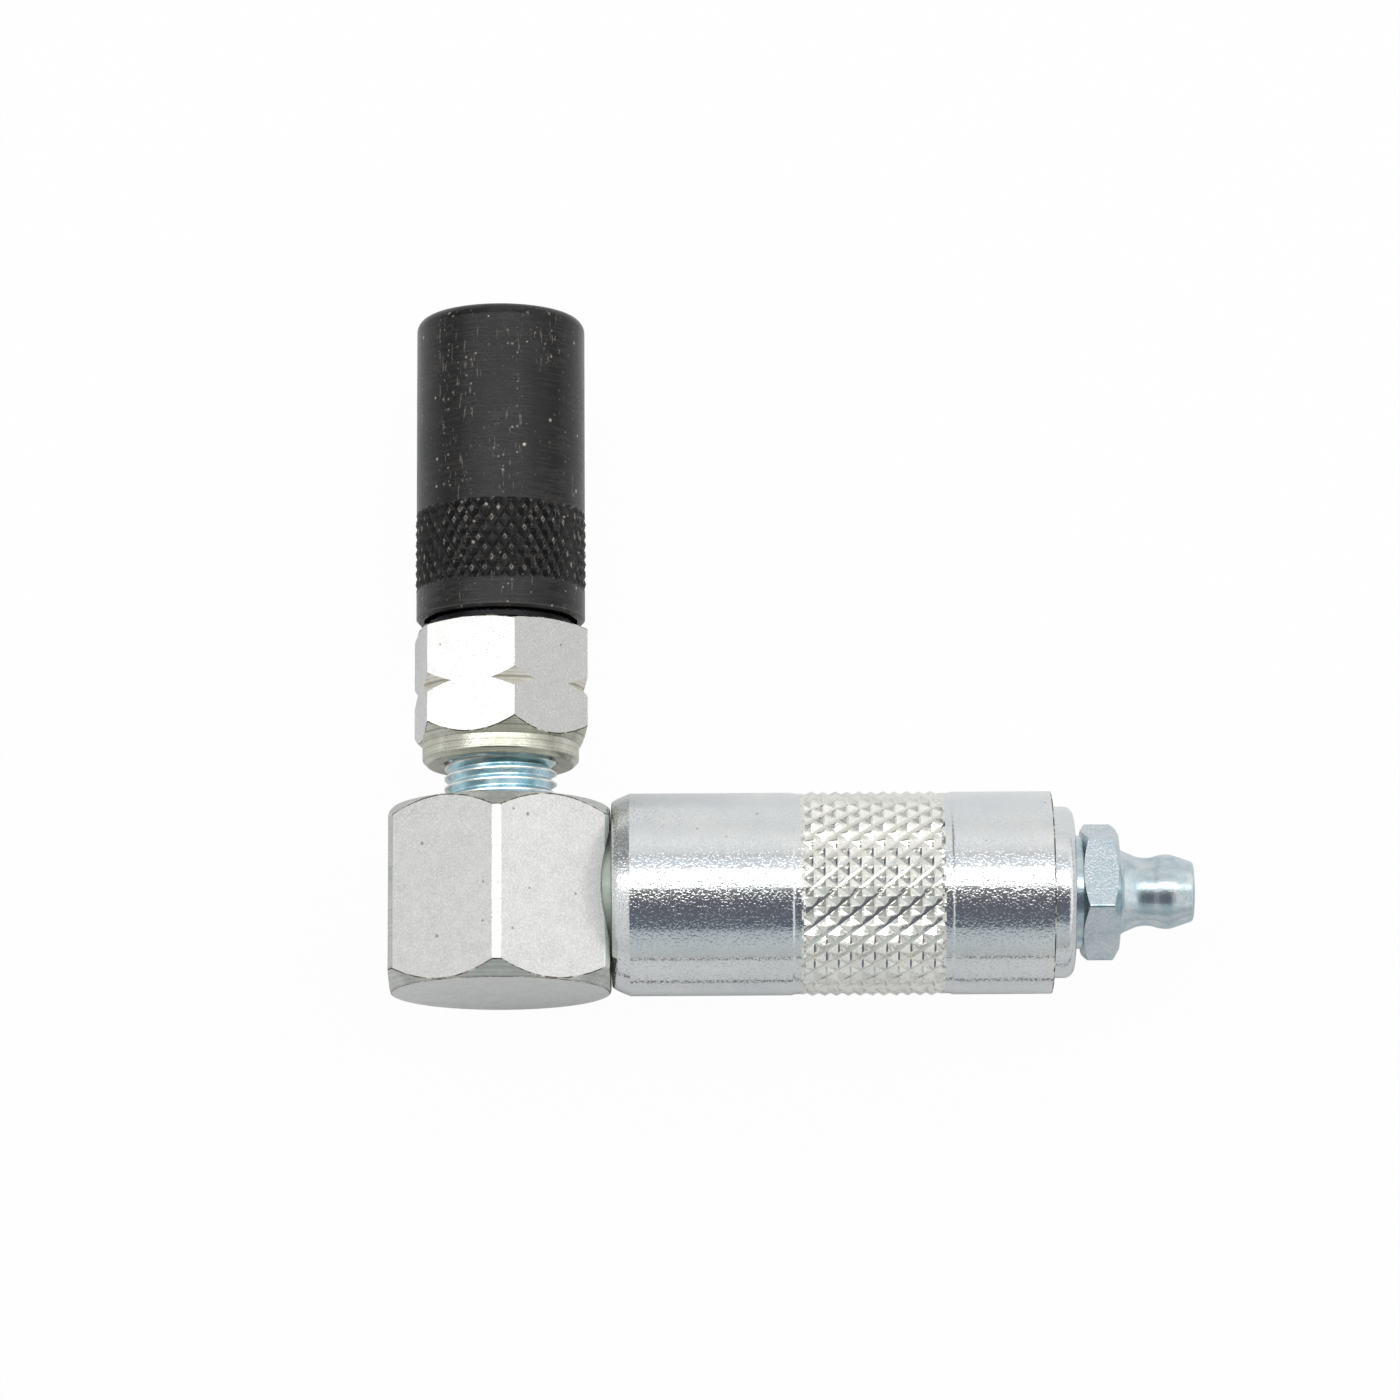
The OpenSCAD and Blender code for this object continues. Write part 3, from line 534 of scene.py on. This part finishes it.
def soft_stuff(name, dull, bright, rough, grain):
    """Rubber, plastic, or the near-black painted shade of a narrow gap."""
    finish, tree, shader = new_finish(name)
    mottle = effect(tree, MOTTLE, Size=0.002)
    tree.links.new(blend_colours(tree, mottle, dull, bright), shader.inputs["Base Color"])
    tree.links.new(spread(tree, mottle, 0, 1, rough[0], rough[1]), shader.inputs["Roughness"])
    set_relief(tree, shader, effect(tree, GRAIN, Size=grain, Floor=0.2), 0.000004)
    return finish


def black_oxide():
    """Oiled black oxide, with a cloudy haze, and specks, scratches and knurl tips worn to the steel."""
    finish, tree, shader = new_finish("black_oxide_sleeve", ior=1.42)
    mottle = effect(tree, MOTTLE, Size=0.004)
    rings = effect(tree, TOOL_LINES, Axis=Y_AXIS, Pitch=0.00018)
    radius = effect(tree, RADIUS, Axis=Y_AXIS)
    along = effect(tree, STATION, Axis=Y_AXIS)
    rubbed = effect(tree, SCUFFS, Stretch=(420.0, 90.0, 420.0), Floor=0.5)
    dust = times(tree, effect(tree, SPECKS, Spacing=0.0004, Size=0.4, Share=0.3), 0.12)
    trail = times(tree, effect(tree, SPECKS, Spacing=0.0004, Size=0.4, Share=0.6), times(tree, rubbed, 0.4))
    chips = times(tree, effect(tree, SPECKS, Spacing=0.0011, Size=0.19, Share=0.5), 0.75)
    scratches = times(
        tree, effect(tree, SCUFFS, Stretch=(5000.0, 700.0, 5000.0), Floor=0.62), times(tree, rubbed, 0.25)
    )
    strokes = times(
        tree, effect(tree, SCUFFS, Stretch=(900.0, 6500.0, 900.0), Floor=0.6), times(tree, rubbed, 0.06)
    )
    brushed = times(
        tree, effect(tree, SCUFFS, Stretch=(450.0, 4500.0, 450.0), Floor=0.48),
        spread(tree, effect(tree, MOTTLE, Size=0.003), 0.2, 0.9, 0.004, 0.04)
    )
    knurled = between(tree, along, -0.024, -0.01725, 0.00005)
    crowns = times(
        tree, spread(tree, radius, 0.00732, 0.00735), spread(tree, radius, 0.00742, 0.00738, 0.1, 1.0)
    )
    crowns = times(
        tree, times(tree, crowns, knurled), spread(tree, effect(tree, MOTTLE, Size=0.0012), 0.5, 1.0, 0.05, 0.85)
    )
    rim = times(tree, between(tree, along, -0.0265, -0.02638, 0.00005), 0.1)
    bare = spread(tree, mottle, 0.3, 1.0, 0.0, 0.004)
    for wear in (dust, trail, chips, scratches, strokes, crowns, brushed, rim):
        bare = math_node(tree, "MAXIMUM", bare, wear)
    black = blend_colours(tree, mottle, (0.0042, 0.004, 0.0044), (0.0058, 0.0054, 0.0056))
    steel = (0.56, 0.5, 0.44)
    tree.links.new(blend_colours(tree, bare, black, steel), shader.inputs["Base Color"])
    tree.links.new(bare, shader.inputs["Metallic"])
    tree.links.new(spread(tree, mottle, 0, 1, 0.32, 0.2), shader.inputs["Roughness"])
    height = math_node(tree, "ADD", effect(tree, GRAIN, Size=0.00025, Floor=0.3), times(tree, rings, 1.2))
    set_relief(tree, shader, height, 0.00001)
    return finish


def blue_zinc(name, axis, deep, pale, rough, crest_r=None):
    """Blue zinc plate, with a painted highlight that makes it nearly white on the crests of a thread on the
    coupler's axis.
    """
    finish, tree, shader = new_finish(name, metallic=1.0)
    mottle = effect(tree, MOTTLE, Size=0.0015)
    colour = blend_colours(tree, mottle, deep, pale)
    # Painted highlight along the thread's crests.
    if crest_r:
        radius = effect(tree, RADIUS, Axis=axis)
        crest = spread(tree, radius, (crest_r - 0.16) * MM, (crest_r - 0.05) * MM)
        colour = blend_colours(tree, crest, colour, (0.93, 0.93, 0.9))
    tree.links.new(colour, shader.inputs["Base Color"])
    tree.links.new(spread(tree, mottle, 0, 1, rough[1], rough[0]), shader.inputs["Roughness"])
    rings = effect(tree, TOOL_LINES, Axis=axis, Pitch=0.00012)
    height = math_node(tree, "ADD", effect(tree, GRAIN, Size=0.00025, Floor=0.45), times(tree, rings, 0.3))
    set_relief(tree, shader, height, 0.000007)
    return finish


THREAD_CREST_R = 4.875

BARREL_ZINC = zinc_plate(
    "bright_zinc_barrel", dull=(0.74, 0.77, 0.785), bright=(0.85, 0.86, 0.85), rough=(0.06, 0.1),
    grain=0.0002, floor=0.5, relief=0.000024, cloud=0.006, pits=0.4
)
KNURL_ZINC = zinc_plate(
    "bright_zinc_knurl", dull=(0.8, 0.8, 0.76), bright=(0.95, 0.94, 0.885), rough=(0.1, 0.16),
    grain=0.00028, floor=0.5, relief=0.000012, cloud=0.003, pits=0.4
)
PLUG_ZINC = zinc_plate(
    "bright_zinc_plug", dull=(0.72, 0.75, 0.765), bright=(0.84, 0.85, 0.85), rough=(0.08, 0.13),
    grain=0.0002, floor=0.5, relief=0.00002, cloud=0.003
)
ELBOW_SATIN = zinc_plate(
    "satin_zinc_flats", dull=(0.7, 0.695, 0.69), bright=(0.82, 0.81, 0.795), rough=(0.28, 0.36),
    grain=0.00017, floor=0.2, relief=0.000018, cloud=0.0013, axis=Y_AXIS, glint=0.6, pits=0.7, metallic=0.55
)
ELBOW_TURNED = zinc_plate(
    "satin_zinc_turned", dull=(0.55, 0.58, 0.54), bright=(0.74, 0.75, 0.71), rough=(0.2, 0.3),
    grain=0.00028, floor=0.35, relief=0.00001, cloud=0.002, axis=Y_AXIS, lines=0.2, streaks=0.3, pits=0.6
)
HEX_SATIN = zinc_plate(
    "body_zinc_flats", dull=(0.7, 0.7, 0.69), bright=(0.81, 0.81, 0.79), rough=(0.24, 0.32),
    grain=0.00015, floor=0.25, relief=0.000012, cloud=0.0016, axis=Y_AXIS, glint=0.5, pits=0.8
)
# The neck above the hexagon, in the gap under the sleeve, takes painted shade.
HEX_TURNED = zinc_plate(
    "body_zinc_turned", dull=(0.52, 0.53, 0.43), bright=(0.8, 0.79, 0.7), rough=(0.16, 0.26),
    grain=0.00028, floor=0.35, relief=0.000012, cloud=0.0022, axis=Y_AXIS, lines=0.8, streaks=0.6, pits=0.6,
    shade_from=-27.44, shade_to=-27.36
)
GROOVE_ZINC = zinc_plate(
    "body_zinc_groove", dull=(0.78, 0.75, 0.64), bright=(1.0, 0.98, 0.93), rough=(0.3, 0.4),
    grain=0.00028, floor=0.35, relief=0.000012, cloud=0.0012, axis=Y_AXIS, lines=0.8, streaks=0.7, metallic=0.35
)
SPOT_FACE = zinc_plate(
    "spot_face", dull=(0.62, 0.7, 0.62), bright=(0.8, 0.85, 0.78), rough=(0.45, 0.6),
    grain=0.0002, floor=0.3, relief=0.00001, cloud=0.002, metallic=0.2
)
NIPPLE_SATIN = zinc_plate(
    "blue_zinc_flats", dull=(0.5, 0.6, 0.65), bright=(0.66, 0.72, 0.75), rough=(0.22, 0.3),
    grain=0.00018, floor=0.35, relief=0.00002, cloud=0.0015, glint=0.5, metallic=0.6
)
NIPPLE_ZINC = blue_zinc(
    "blue_zinc_nipple", X_AXIS, deep=(0.42, 0.57, 0.62), pale=(0.75, 0.79, 0.8), rough=(0.2, 0.3)
)
THREAD_ZINC = blue_zinc(
    "blue_zinc_thread", Y_AXIS, deep=(0.44, 0.68, 0.76), pale=(0.82, 0.91, 0.94), rough=(0.13, 0.24),
    crest_r=THREAD_CREST_R
)
DARK_EDGE = dark_edge("dark_edge")
# Near-black painted shade for faces deep in a narrow gap.
GAP_SHADE_FACE = soft_stuff("painted_gap_shade", (0.02, 0.02, 0.018), (0.05, 0.048, 0.042), (0.3, 0.45), 0.0002)
BLACK_OXIDE = black_oxide()

INNER_FINISHES = {
    "bright_zinc": BARREL_ZINC,
    "satin_zinc": ELBOW_TURNED,
    "hard_steel": plain_metal("hard_steel", (0.3, 0.295, 0.29), (0.46, 0.45, 0.44), (0.22, 0.36), Y_AXIS),
    "spring_steel": plain_metal("spring_steel", (0.42, 0.42, 0.44), (0.58, 0.58, 0.6), (0.16, 0.28), Y_AXIS),
    "bronze": plain_metal("bronze", (0.58, 0.4, 0.19), (0.72, 0.53, 0.28), (0.25, 0.4), X_AXIS),
    "rubber": soft_stuff("rubber", (0.02, 0.02, 0.02), (0.04, 0.04, 0.04), (0.5, 0.65), 0.0001),
    "white_plastic": soft_stuff("white_plastic", (0.82, 0.81, 0.77), (0.9, 0.89, 0.86), (0.4, 0.5), 0.0002),
}

# The gasket shows as a pale crescent in the gap between elbow and barrel.
NODE_FINISHES = {"spindle_gasket": SPOT_FACE}

for row in frame["record"]["subparts"]:
    slot_finish = INNER_FINISHES.get(row["material_slot"])
    if slot_finish:
        materials = frame["nodes"][row["node"]].data.materials
        materials.clear()
        materials.append(NODE_FINISHES.get(row["node"], slot_finish))


# Barrel handle

BARREL_KNURL = (25.87, 38.2)
BARREL_TEETH = 32
BARREL_ROWS = 6
KNURL_CELLS = 12


def make_barrel():
    """The knurl counts as milled, the rim beside the elbow as edge, and the round of the outer end as spot."""
    r = 8.75
    low = 8.65
    inner_end = 9.62
    outer_end = 47.55
    outer_round = 0.12
    section = [
        (6.0, 9.7, 0), (6.2, inner_end, 0), (7.97, inner_end, 0.1), (8.25, 10.0, 0.3), (r, 11.2, 0),
        (r, 25.12, 0.1), (low, 25.32, 0.1), (low, BARREL_KNURL[0], 0), (low, BARREL_KNURL[1], 0),
        (low, 38.75, 0.1), (r, 38.95, 0.1), (r, outer_end, outer_round), (7.05, outer_end, 0.1),
        (7.05, 39.3, 0), (6.6, 39.3, 0), (6.6, 15.7, 0), (5.05, 15.7, 0), (5.05, 9.7, 0.2)
    ]
    lead = (BARREL_KNURL[1] - BARREL_KNURL[0]) / BARREL_ROWS
    bm = turned_sector(section, BARREL_TEETH, KNURL_CELLS, BARREL_KNURL, BARREL_ROWS * KNURL_CELLS)
    press_knurl(
        bm, BARREL_KNURL, BARREL_TEETH, lead, peak_r=8.83, end_r=low, deep=0.42, shallow=0.36, fade=0.35,
        floor=1 / 12
    )
    for face in bm.faces:
        middle = face.calc_center_median()
        radius = middle.xy.length
        if radius > 8 and BARREL_KNURL[0] < middle.z < BARREL_KNURL[1]:
            face.material_index = MILLED
        # The rim beside the elbow is painted near black for the shade in the gap.
        if radius > 7.85 and middle.z < inner_end + 0.1:
            face.material_index = EDGE
        if radius > r - outer_round and middle.z > outer_end - outer_round:
            face.material_index = SPOT
    close_round(bm, BARREL_TEETH)
    finished_piece(
        "barrel_knurled", bm, ON_HANDLE, "barrel", "handle", "bright_zinc",
        BARREL_ZINC, KNURL_ZINC, GAP_SHADE_FACE, DARK_EDGE
    )


make_barrel()


# End plug

def make_end_plug():
    section = [
        (1.75, 35.5, 0), (6.5, 35.5, 0), (6.5, 36.3, 0), (4.85, 36.3, 0), (4.85, 38.1, 0), (6.5, 38.1, 0),
        (6.5, 39.6, 0), (7.0, 39.6, 0), (7.0, 47.55, 0), (7.4, 47.55, 0), (7.4, 49.45, 0.9),
        (4.925, 49.45, 0.15), (4.925, 43.5, 0), (1.75, 43.5, 0)
    ]
    bm = turned_blank(section, sectors=24, steps=8)
    finished_piece("end_plug_turned", bm, ON_HANDLE, "end_plug", "handle", "bright_zinc", PLUG_ZINC)


make_end_plug()


# Inlet nipple

def make_inlet_nipple():
    section = [
        (1.2, 43.8, 0), (4.375, 43.8, 0), (4.875, 44.3, 0), (4.875, 50.1, 0),
        (5.35, 50.1, 0), (6.35, 50.68, 0), (6.35, 52.56, 0), (5.02, 53.3, 0),
        (3.7, 53.3, 0.5), (2.75, 55.47, 0.9), (3.225, 57.07, 0.5), (3.225, 57.77, 0.5),
        (2.535, 59.8, 0.25), (0.85, 59.8, 0.15), (0.85, 58.9, 0), (1.6, 58.15, 0), (1.6, 44.4, 0), (1.2, 44.4, 0)
    ]
    bm = turned_blank(section, sectors=24, steps=10)
    mill_flats(bm, across=10.8, turn=51)
    mark_milled(bm)

    def hexagon_corner(edge):
        return edge.calc_length() > 1.5 and all(v.co.xy.length > 5.5 for v in edge.verts)

    break_edges(bm, 0.3, 3, hexagon_corner)
    finished_piece(
        "inlet_nipple_hex", bm, ON_HANDLE, "inlet_nipple", "handle", "blue_zinc",
        NIPPLE_ZINC, NIPPLE_SATIN, NIPPLE_ZINC
    )


make_inlet_nipple()


# Elbow block

def make_elbow():
    """The hexagon's corners beside the barrel count as spot, and the flat that faces the barrel takes painted
    shade.
    """
    corner = 10.75
    end_r = 9.4
    across = 19
    section = [
        (0, -59.35, 0), (end_r, -59.35, 0), (corner, -58.0, 0), (corner, -44.65, 0), (end_r, -43.3, 0),
        (4.925, -43.3, 0.2), (4.925, -47.9, 0), (0, -47.9, 0)
    ]
    bm = turned_blank(section)
    mill_flats(bm, across, turn=0)
    bm.transform(ON_COUPLER)
    port_section = [(0, 5.6, 0), (4.05, 5.6, 0), (4.05, 8.8, 0), (5.92, 8.8, 0), (8.3, 10.5, 0), (0, 10.5, 0)]
    port = turned_blank(port_section, sectors=18, steps=10)
    port.transform(ON_HANDLE)
    bm = cut_away(bm, port)
    mark_milled(bm, sawn=Vector((0, -1, 0)))

    def end_edge(edge):
        return edge.calc_length() < 1 and all(v.co.xz.length > 6 for v in edge.verts)

    break_edges(bm, BURR, 1, end_edge)
    for face in bm.faces:
        reach = face.calc_center_median().x
        upright = abs(face.normal.y) < 0.3 and 0.3 < face.normal.x < 0.95
        if reach > 8.7 and upright and face.material_index == TURNED:
            face.material_index = SPOT
        # The flat that faces the barrel is painted near black for the shade in the gap.
        if reach > across / 2 - 0.1 and face.normal.x > 0.99:
            face.material_index = SHADED
    finished_piece(
        "elbow_milled", bm, Matrix.Identity(4), "elbow", "head", "satin_zinc",
        ELBOW_TURNED, ELBOW_SATIN, DARK_EDGE, SPOT_FACE, GAP_SHADE_FACE
    )


make_elbow()


# Outlet nipple

def make_outlet_nipple():
    bm = threaded_stem(THREAD_CREST_R, root_r=4.28, pitch=0.94, start=-47.6, end=-33.7, bore_r=1.5)
    finished_piece("outlet_nipple_threaded", bm, ON_COUPLER, "outlet_nipple", "head", "blue_zinc", THREAD_ZINC)


make_outlet_nipple()


# Coupler body

def make_coupler_body():
    """The faces of the V-groove count as spot."""
    blank = 8.3
    collar_r = 6.79
    groove = -32.98
    section = [
        (5.225, -39.43, 0), (6.34, -39.43, 0.1), (collar_r, -38.98, 0.1), (collar_r, -37.73, 0),
        (blank, -36.22, 0), (blank, -34.067, 0), (7.213, groove, 0), (blank, -31.893, 0), (blank, -27.945, 0),
        (7.01, -27.45, 0), (6.3, -27.45, 0), (6.3, -26.15, 0), (5.34, -26.15, 0), (5.34, -24.85, 0),
        (6.3, -24.85, 0), (6.3, -16.3, 0), (5.8, -15.8, 0), (5.1, -15.8, 0), (5.1, -19.8, 0),
        (2.55, -19.8, 0), (2.55, -26.6, 0), (2.2, -26.6, 0), (2.2, -31.0, 0), (1.0, -32.2, 0), (1.0, -33.4, 0),
        (4.925, -33.4, 0), (4.925, -39.13, 0)
    ]
    bm = turned_blank(section)
    mill_flats(bm, across=14, turn=10.3)
    mark_milled(bm)

    def chamfer_edge(edge):
        outside = all(v.co.xy.length > collar_r + 0.03 and abs(v.co.z - groove) > 1.5 for v in edge.verts)
        return edge.calc_length() < 1 and outside

    break_edges(bm, BURR, 1, chamfer_edge)
    for face in bm.faces:
        sloping = face.material_index == TURNED and abs(face.normal.z) > 0.5
        if sloping and abs(face.calc_center_median().z - groove) < 1.12:
            face.material_index = SPOT
    finished_piece(
        "coupler_body_hex", bm, ON_COUPLER, "coupler_body", "head", "body_zinc",
        HEX_TURNED, HEX_SATIN, DARK_EDGE, GROOVE_ZINC
    )


make_coupler_body()


# Sleeve

SLEEVE_KNURL = (-24.17, -17.1)
SLEEVE_TEETH = 40
SLEEVE_ROWS = 4


def make_sleeve():
    r = 7.35
    section = [
        (7.1, -26.7, 0), (r, -26.45, 0), (r, SLEEVE_KNURL[0], 0), (r, SLEEVE_KNURL[1], 0), (r, 0.4, 1.1),
        (4.9, 0.4, 0), (4.5, 0, 0), (4.5, -2.6, 0), (6.1, -6.996, 0), (6.1, -14.3, 0), (6.4, -14.3, 0),
        (6.4, -24.2, 0), (6.64, -24.2, 0), (6.64, -26.7, 0.15)
    ]
    lead = (SLEEVE_KNURL[1] - SLEEVE_KNURL[0]) / SLEEVE_ROWS
    bm = turned_sector(section, SLEEVE_TEETH, KNURL_CELLS, SLEEVE_KNURL, SLEEVE_ROWS * KNURL_CELLS)
    press_knurl(
        bm, SLEEVE_KNURL, SLEEVE_TEETH, lead, peak_r=7.45, end_r=r, deep=0.32, shallow=0.3, fade=0.25
    )
    close_round(bm, SLEEVE_TEETH)
    finished_piece("sleeve_knurled", bm, ON_COUPLER, "sleeve", "sleeve", "black_steel", BLACK_OXIDE)


make_sleeve()


# Springs

def make_spring(node, body):
    """A copy of the node's own spring, riding its body in place of the CAD node."""
    solid = frame["nodes"][node]
    mesh = solid.data.copy()
    mesh.transform(solid.matrix_world)
    spring = bpy.data.objects.new(f"{node}_pressed", mesh)
    bpy.context.scene.collection.objects.link(spring)
    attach(spring, body)
    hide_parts(node)
    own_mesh(spring)


make_spring("inlet_spring", "handle")
make_spring("valve_spring", "head")
make_spring("jaw_spring", "head")


# Floor, light and camera

def make_floor():
    """White paper, nearly plain white to the camera. The metal mirrors it as lit paper, with painted shade that
    makes it a little darker in front, and a dark strip that only reflections see, a painted reflection."""
    plain_seen, plain_mirrored = 0.97, 0.06
    front_shade, rear, dark = (0.77, 0.77, 0.77), (0.98, 0.98, 0.98), (0.2, 0.2, 0.2)
    bm = bmesh.new()
    bmesh.ops.create_grid(bm, x_segments=1, y_segments=1, size=4)
    bmesh.ops.translate(bm, verts=bm.verts[:], vec=(0, 0, solid_box[0].z))
    mesh = bpy.data.meshes.new("floor")
    bm.to_mesh(mesh)
    bm.free()
    floor = bpy.data.objects.new("floor", mesh)
    bpy.context.scene.collection.objects.link(floor)
    paper = bpy.data.materials.new("white_paper")
    paper.use_nodes = True
    tree = paper.node_tree
    tree.nodes.clear()
    path = tree.nodes.new("ShaderNodeLightPath").outputs
    direct = math_node(tree, "MAXIMUM", path["Is Camera Ray"], path["Is Transmission Ray"])
    mirrored = path["Is Glossy Ray"]
    plain = math_node(tree, "MAXIMUM", times(tree, direct, plain_seen), times(tree, mirrored, plain_mirrored))
    along = effect(tree, STATION, Axis=Y_AXIS)
    # Painted reflection: a dark strip that only the metal's mirror rays see. Painted shade: the paper greyer in
    # front.
    mirrored_strip = between(tree, along, -0.0798, -0.0752, 0.0005)
    grey = blend_colours(tree, spread(tree, along, -0.055, -0.035), front_shade, rear)
    grey = blend_colours(tree, times(tree, mirrored_strip, mirrored), grey, dark)
    matt = add_node(tree, "ShaderNodeBsdfDiffuse", {"Color": grey})
    white = add_node(tree, "ShaderNodeEmission", {"Color": (1, 1, 1, 1), "Strength": 1.0})
    both = tree.nodes.new("ShaderNodeMixShader")
    tree.links.new(plain, both.inputs[0])
    tree.links.new(matt.outputs[0], both.inputs[1])
    tree.links.new(white.outputs[0], both.inputs[2])
    tree.links.new(both.outputs[0], tree.nodes.new("ShaderNodeOutputMaterial").inputs["Surface"])
    mesh.materials.append(paper)


def make_studio():
    """White studio round the bench, darker where the camera stands, with one soft box overhead."""
    world = bpy.data.worlds.new("studio")
    bpy.context.scene.world = world
    world.use_nodes = True
    tree = world.node_tree
    direction = tree.nodes.new("ShaderNodeTexCoord").outputs["Generated"]
    x, y, z = add_node(tree, "ShaderNodeSeparateXYZ", {0: direction}).outputs

    def degrees(side):
        return times(tree, math_node(tree, "ARCTAN2", side, z), 180 / math.pi)

    def panels(angle, stops):
        """Levels or colours round the bench, at angles in degrees."""
        ramp = tree.nodes.new("ShaderNodeValToRGB")
        tree.links.new(spread(tree, angle, -180, 180), ramp.inputs["Fac"])
        stops = [((at + 180) / 360, level) for at, level in stops]
        elements = ramp.color_ramp.elements
        elements[0].position, elements[1].position = stops[0][0], stops[-1][0]
        for at, _ in stops[1:-1]:
            elements.new(at)
        for element, (_, level) in zip(elements, stops):
            element.color = (*level, 1) if isinstance(level, tuple) else (level, level, level, 1)
        return ramp.outputs["Color"]

    front_to_back = degrees(y)
    left_to_right = degrees(x)
    lengthwise = panels(front_to_back, [
        (-180, 0.6), (-91, 0.6), (-90.5, 0.28), (-87, 0.28), (-85.5, 0.48), (-70, (0.55, 0.6, 0.62)),
        (-53, (0.5, 0.54, 0.57)), (-48, (0.13, 0.15, 0.185)), (-20, (0.13, 0.13, 0.16)), (-8, 0.2),
        (20, 0.76), (27, (0.74, 0.8, 0.88)), (35, 0.62), (39, 0.78), (50, 0.95), (58, 0.9), (68, 0.8), (78, 0.78),
        (90, 0.84), (180, 0.84)
    ])
    sideways = panels(left_to_right, [
        (-180, 0.6), (-90, 0.6), (-60, 0.74), (-48, 0.9), (22, 0.8), (40, 0.92), (60, 1.14), (80, 0.54), (180, 0.6)
    ])
    aside = spread(tree, math_node(tree, "ABSOLUTE", x), 0.4, 0.75)
    walls = blend_colours(tree, aside, lengthwise, sideways)
    upper_left = times(tree, spread(tree, x, -0.3, -0.6), spread(tree, y, 0.25, 0.5, 0.0, 0.85))
    walls = blend_colours(tree, upper_left, walls, (0.2, 0.21, 0.2))
    soft_box = times(
        tree, between(tree, front_to_back, -1.5, 18.5, 2.5), between(tree, left_to_right, -50, 44, 4)
    )
    light = blend_colours(tree, soft_box, walls, (2.3, 2.3, 2.3))
    tree.links.new(light, tree.nodes["Background"].inputs["Color"])


def make_camera():
    data = bpy.data.cameras.new("camera")
    data.sensor_width = 36
    data.lens = 159.7
    data.clip_start = 0.01
    camera = bpy.data.objects.new("camera", data)
    bpy.context.scene.collection.objects.link(camera)
    place = Vector((0.01733, -0.1408, 0.5293))
    target = Vector((0.017325, -0.033652, 0))
    back = (place - target).normalized()
    right = Vector((0, 1, 0)).cross(back).normalized()
    up = back.cross(right)
    roll = Matrix.Rotation(math.radians(-0.35), 4, "Z")
    camera.matrix_world = Matrix.Translation(place) @ Matrix((right, up, back)).transposed().to_4x4() @ roll
    bpy.context.scene.camera = camera


make_floor()
make_studio()
make_camera()
bpy.context.scene.view_settings.view_transform = "Standard"
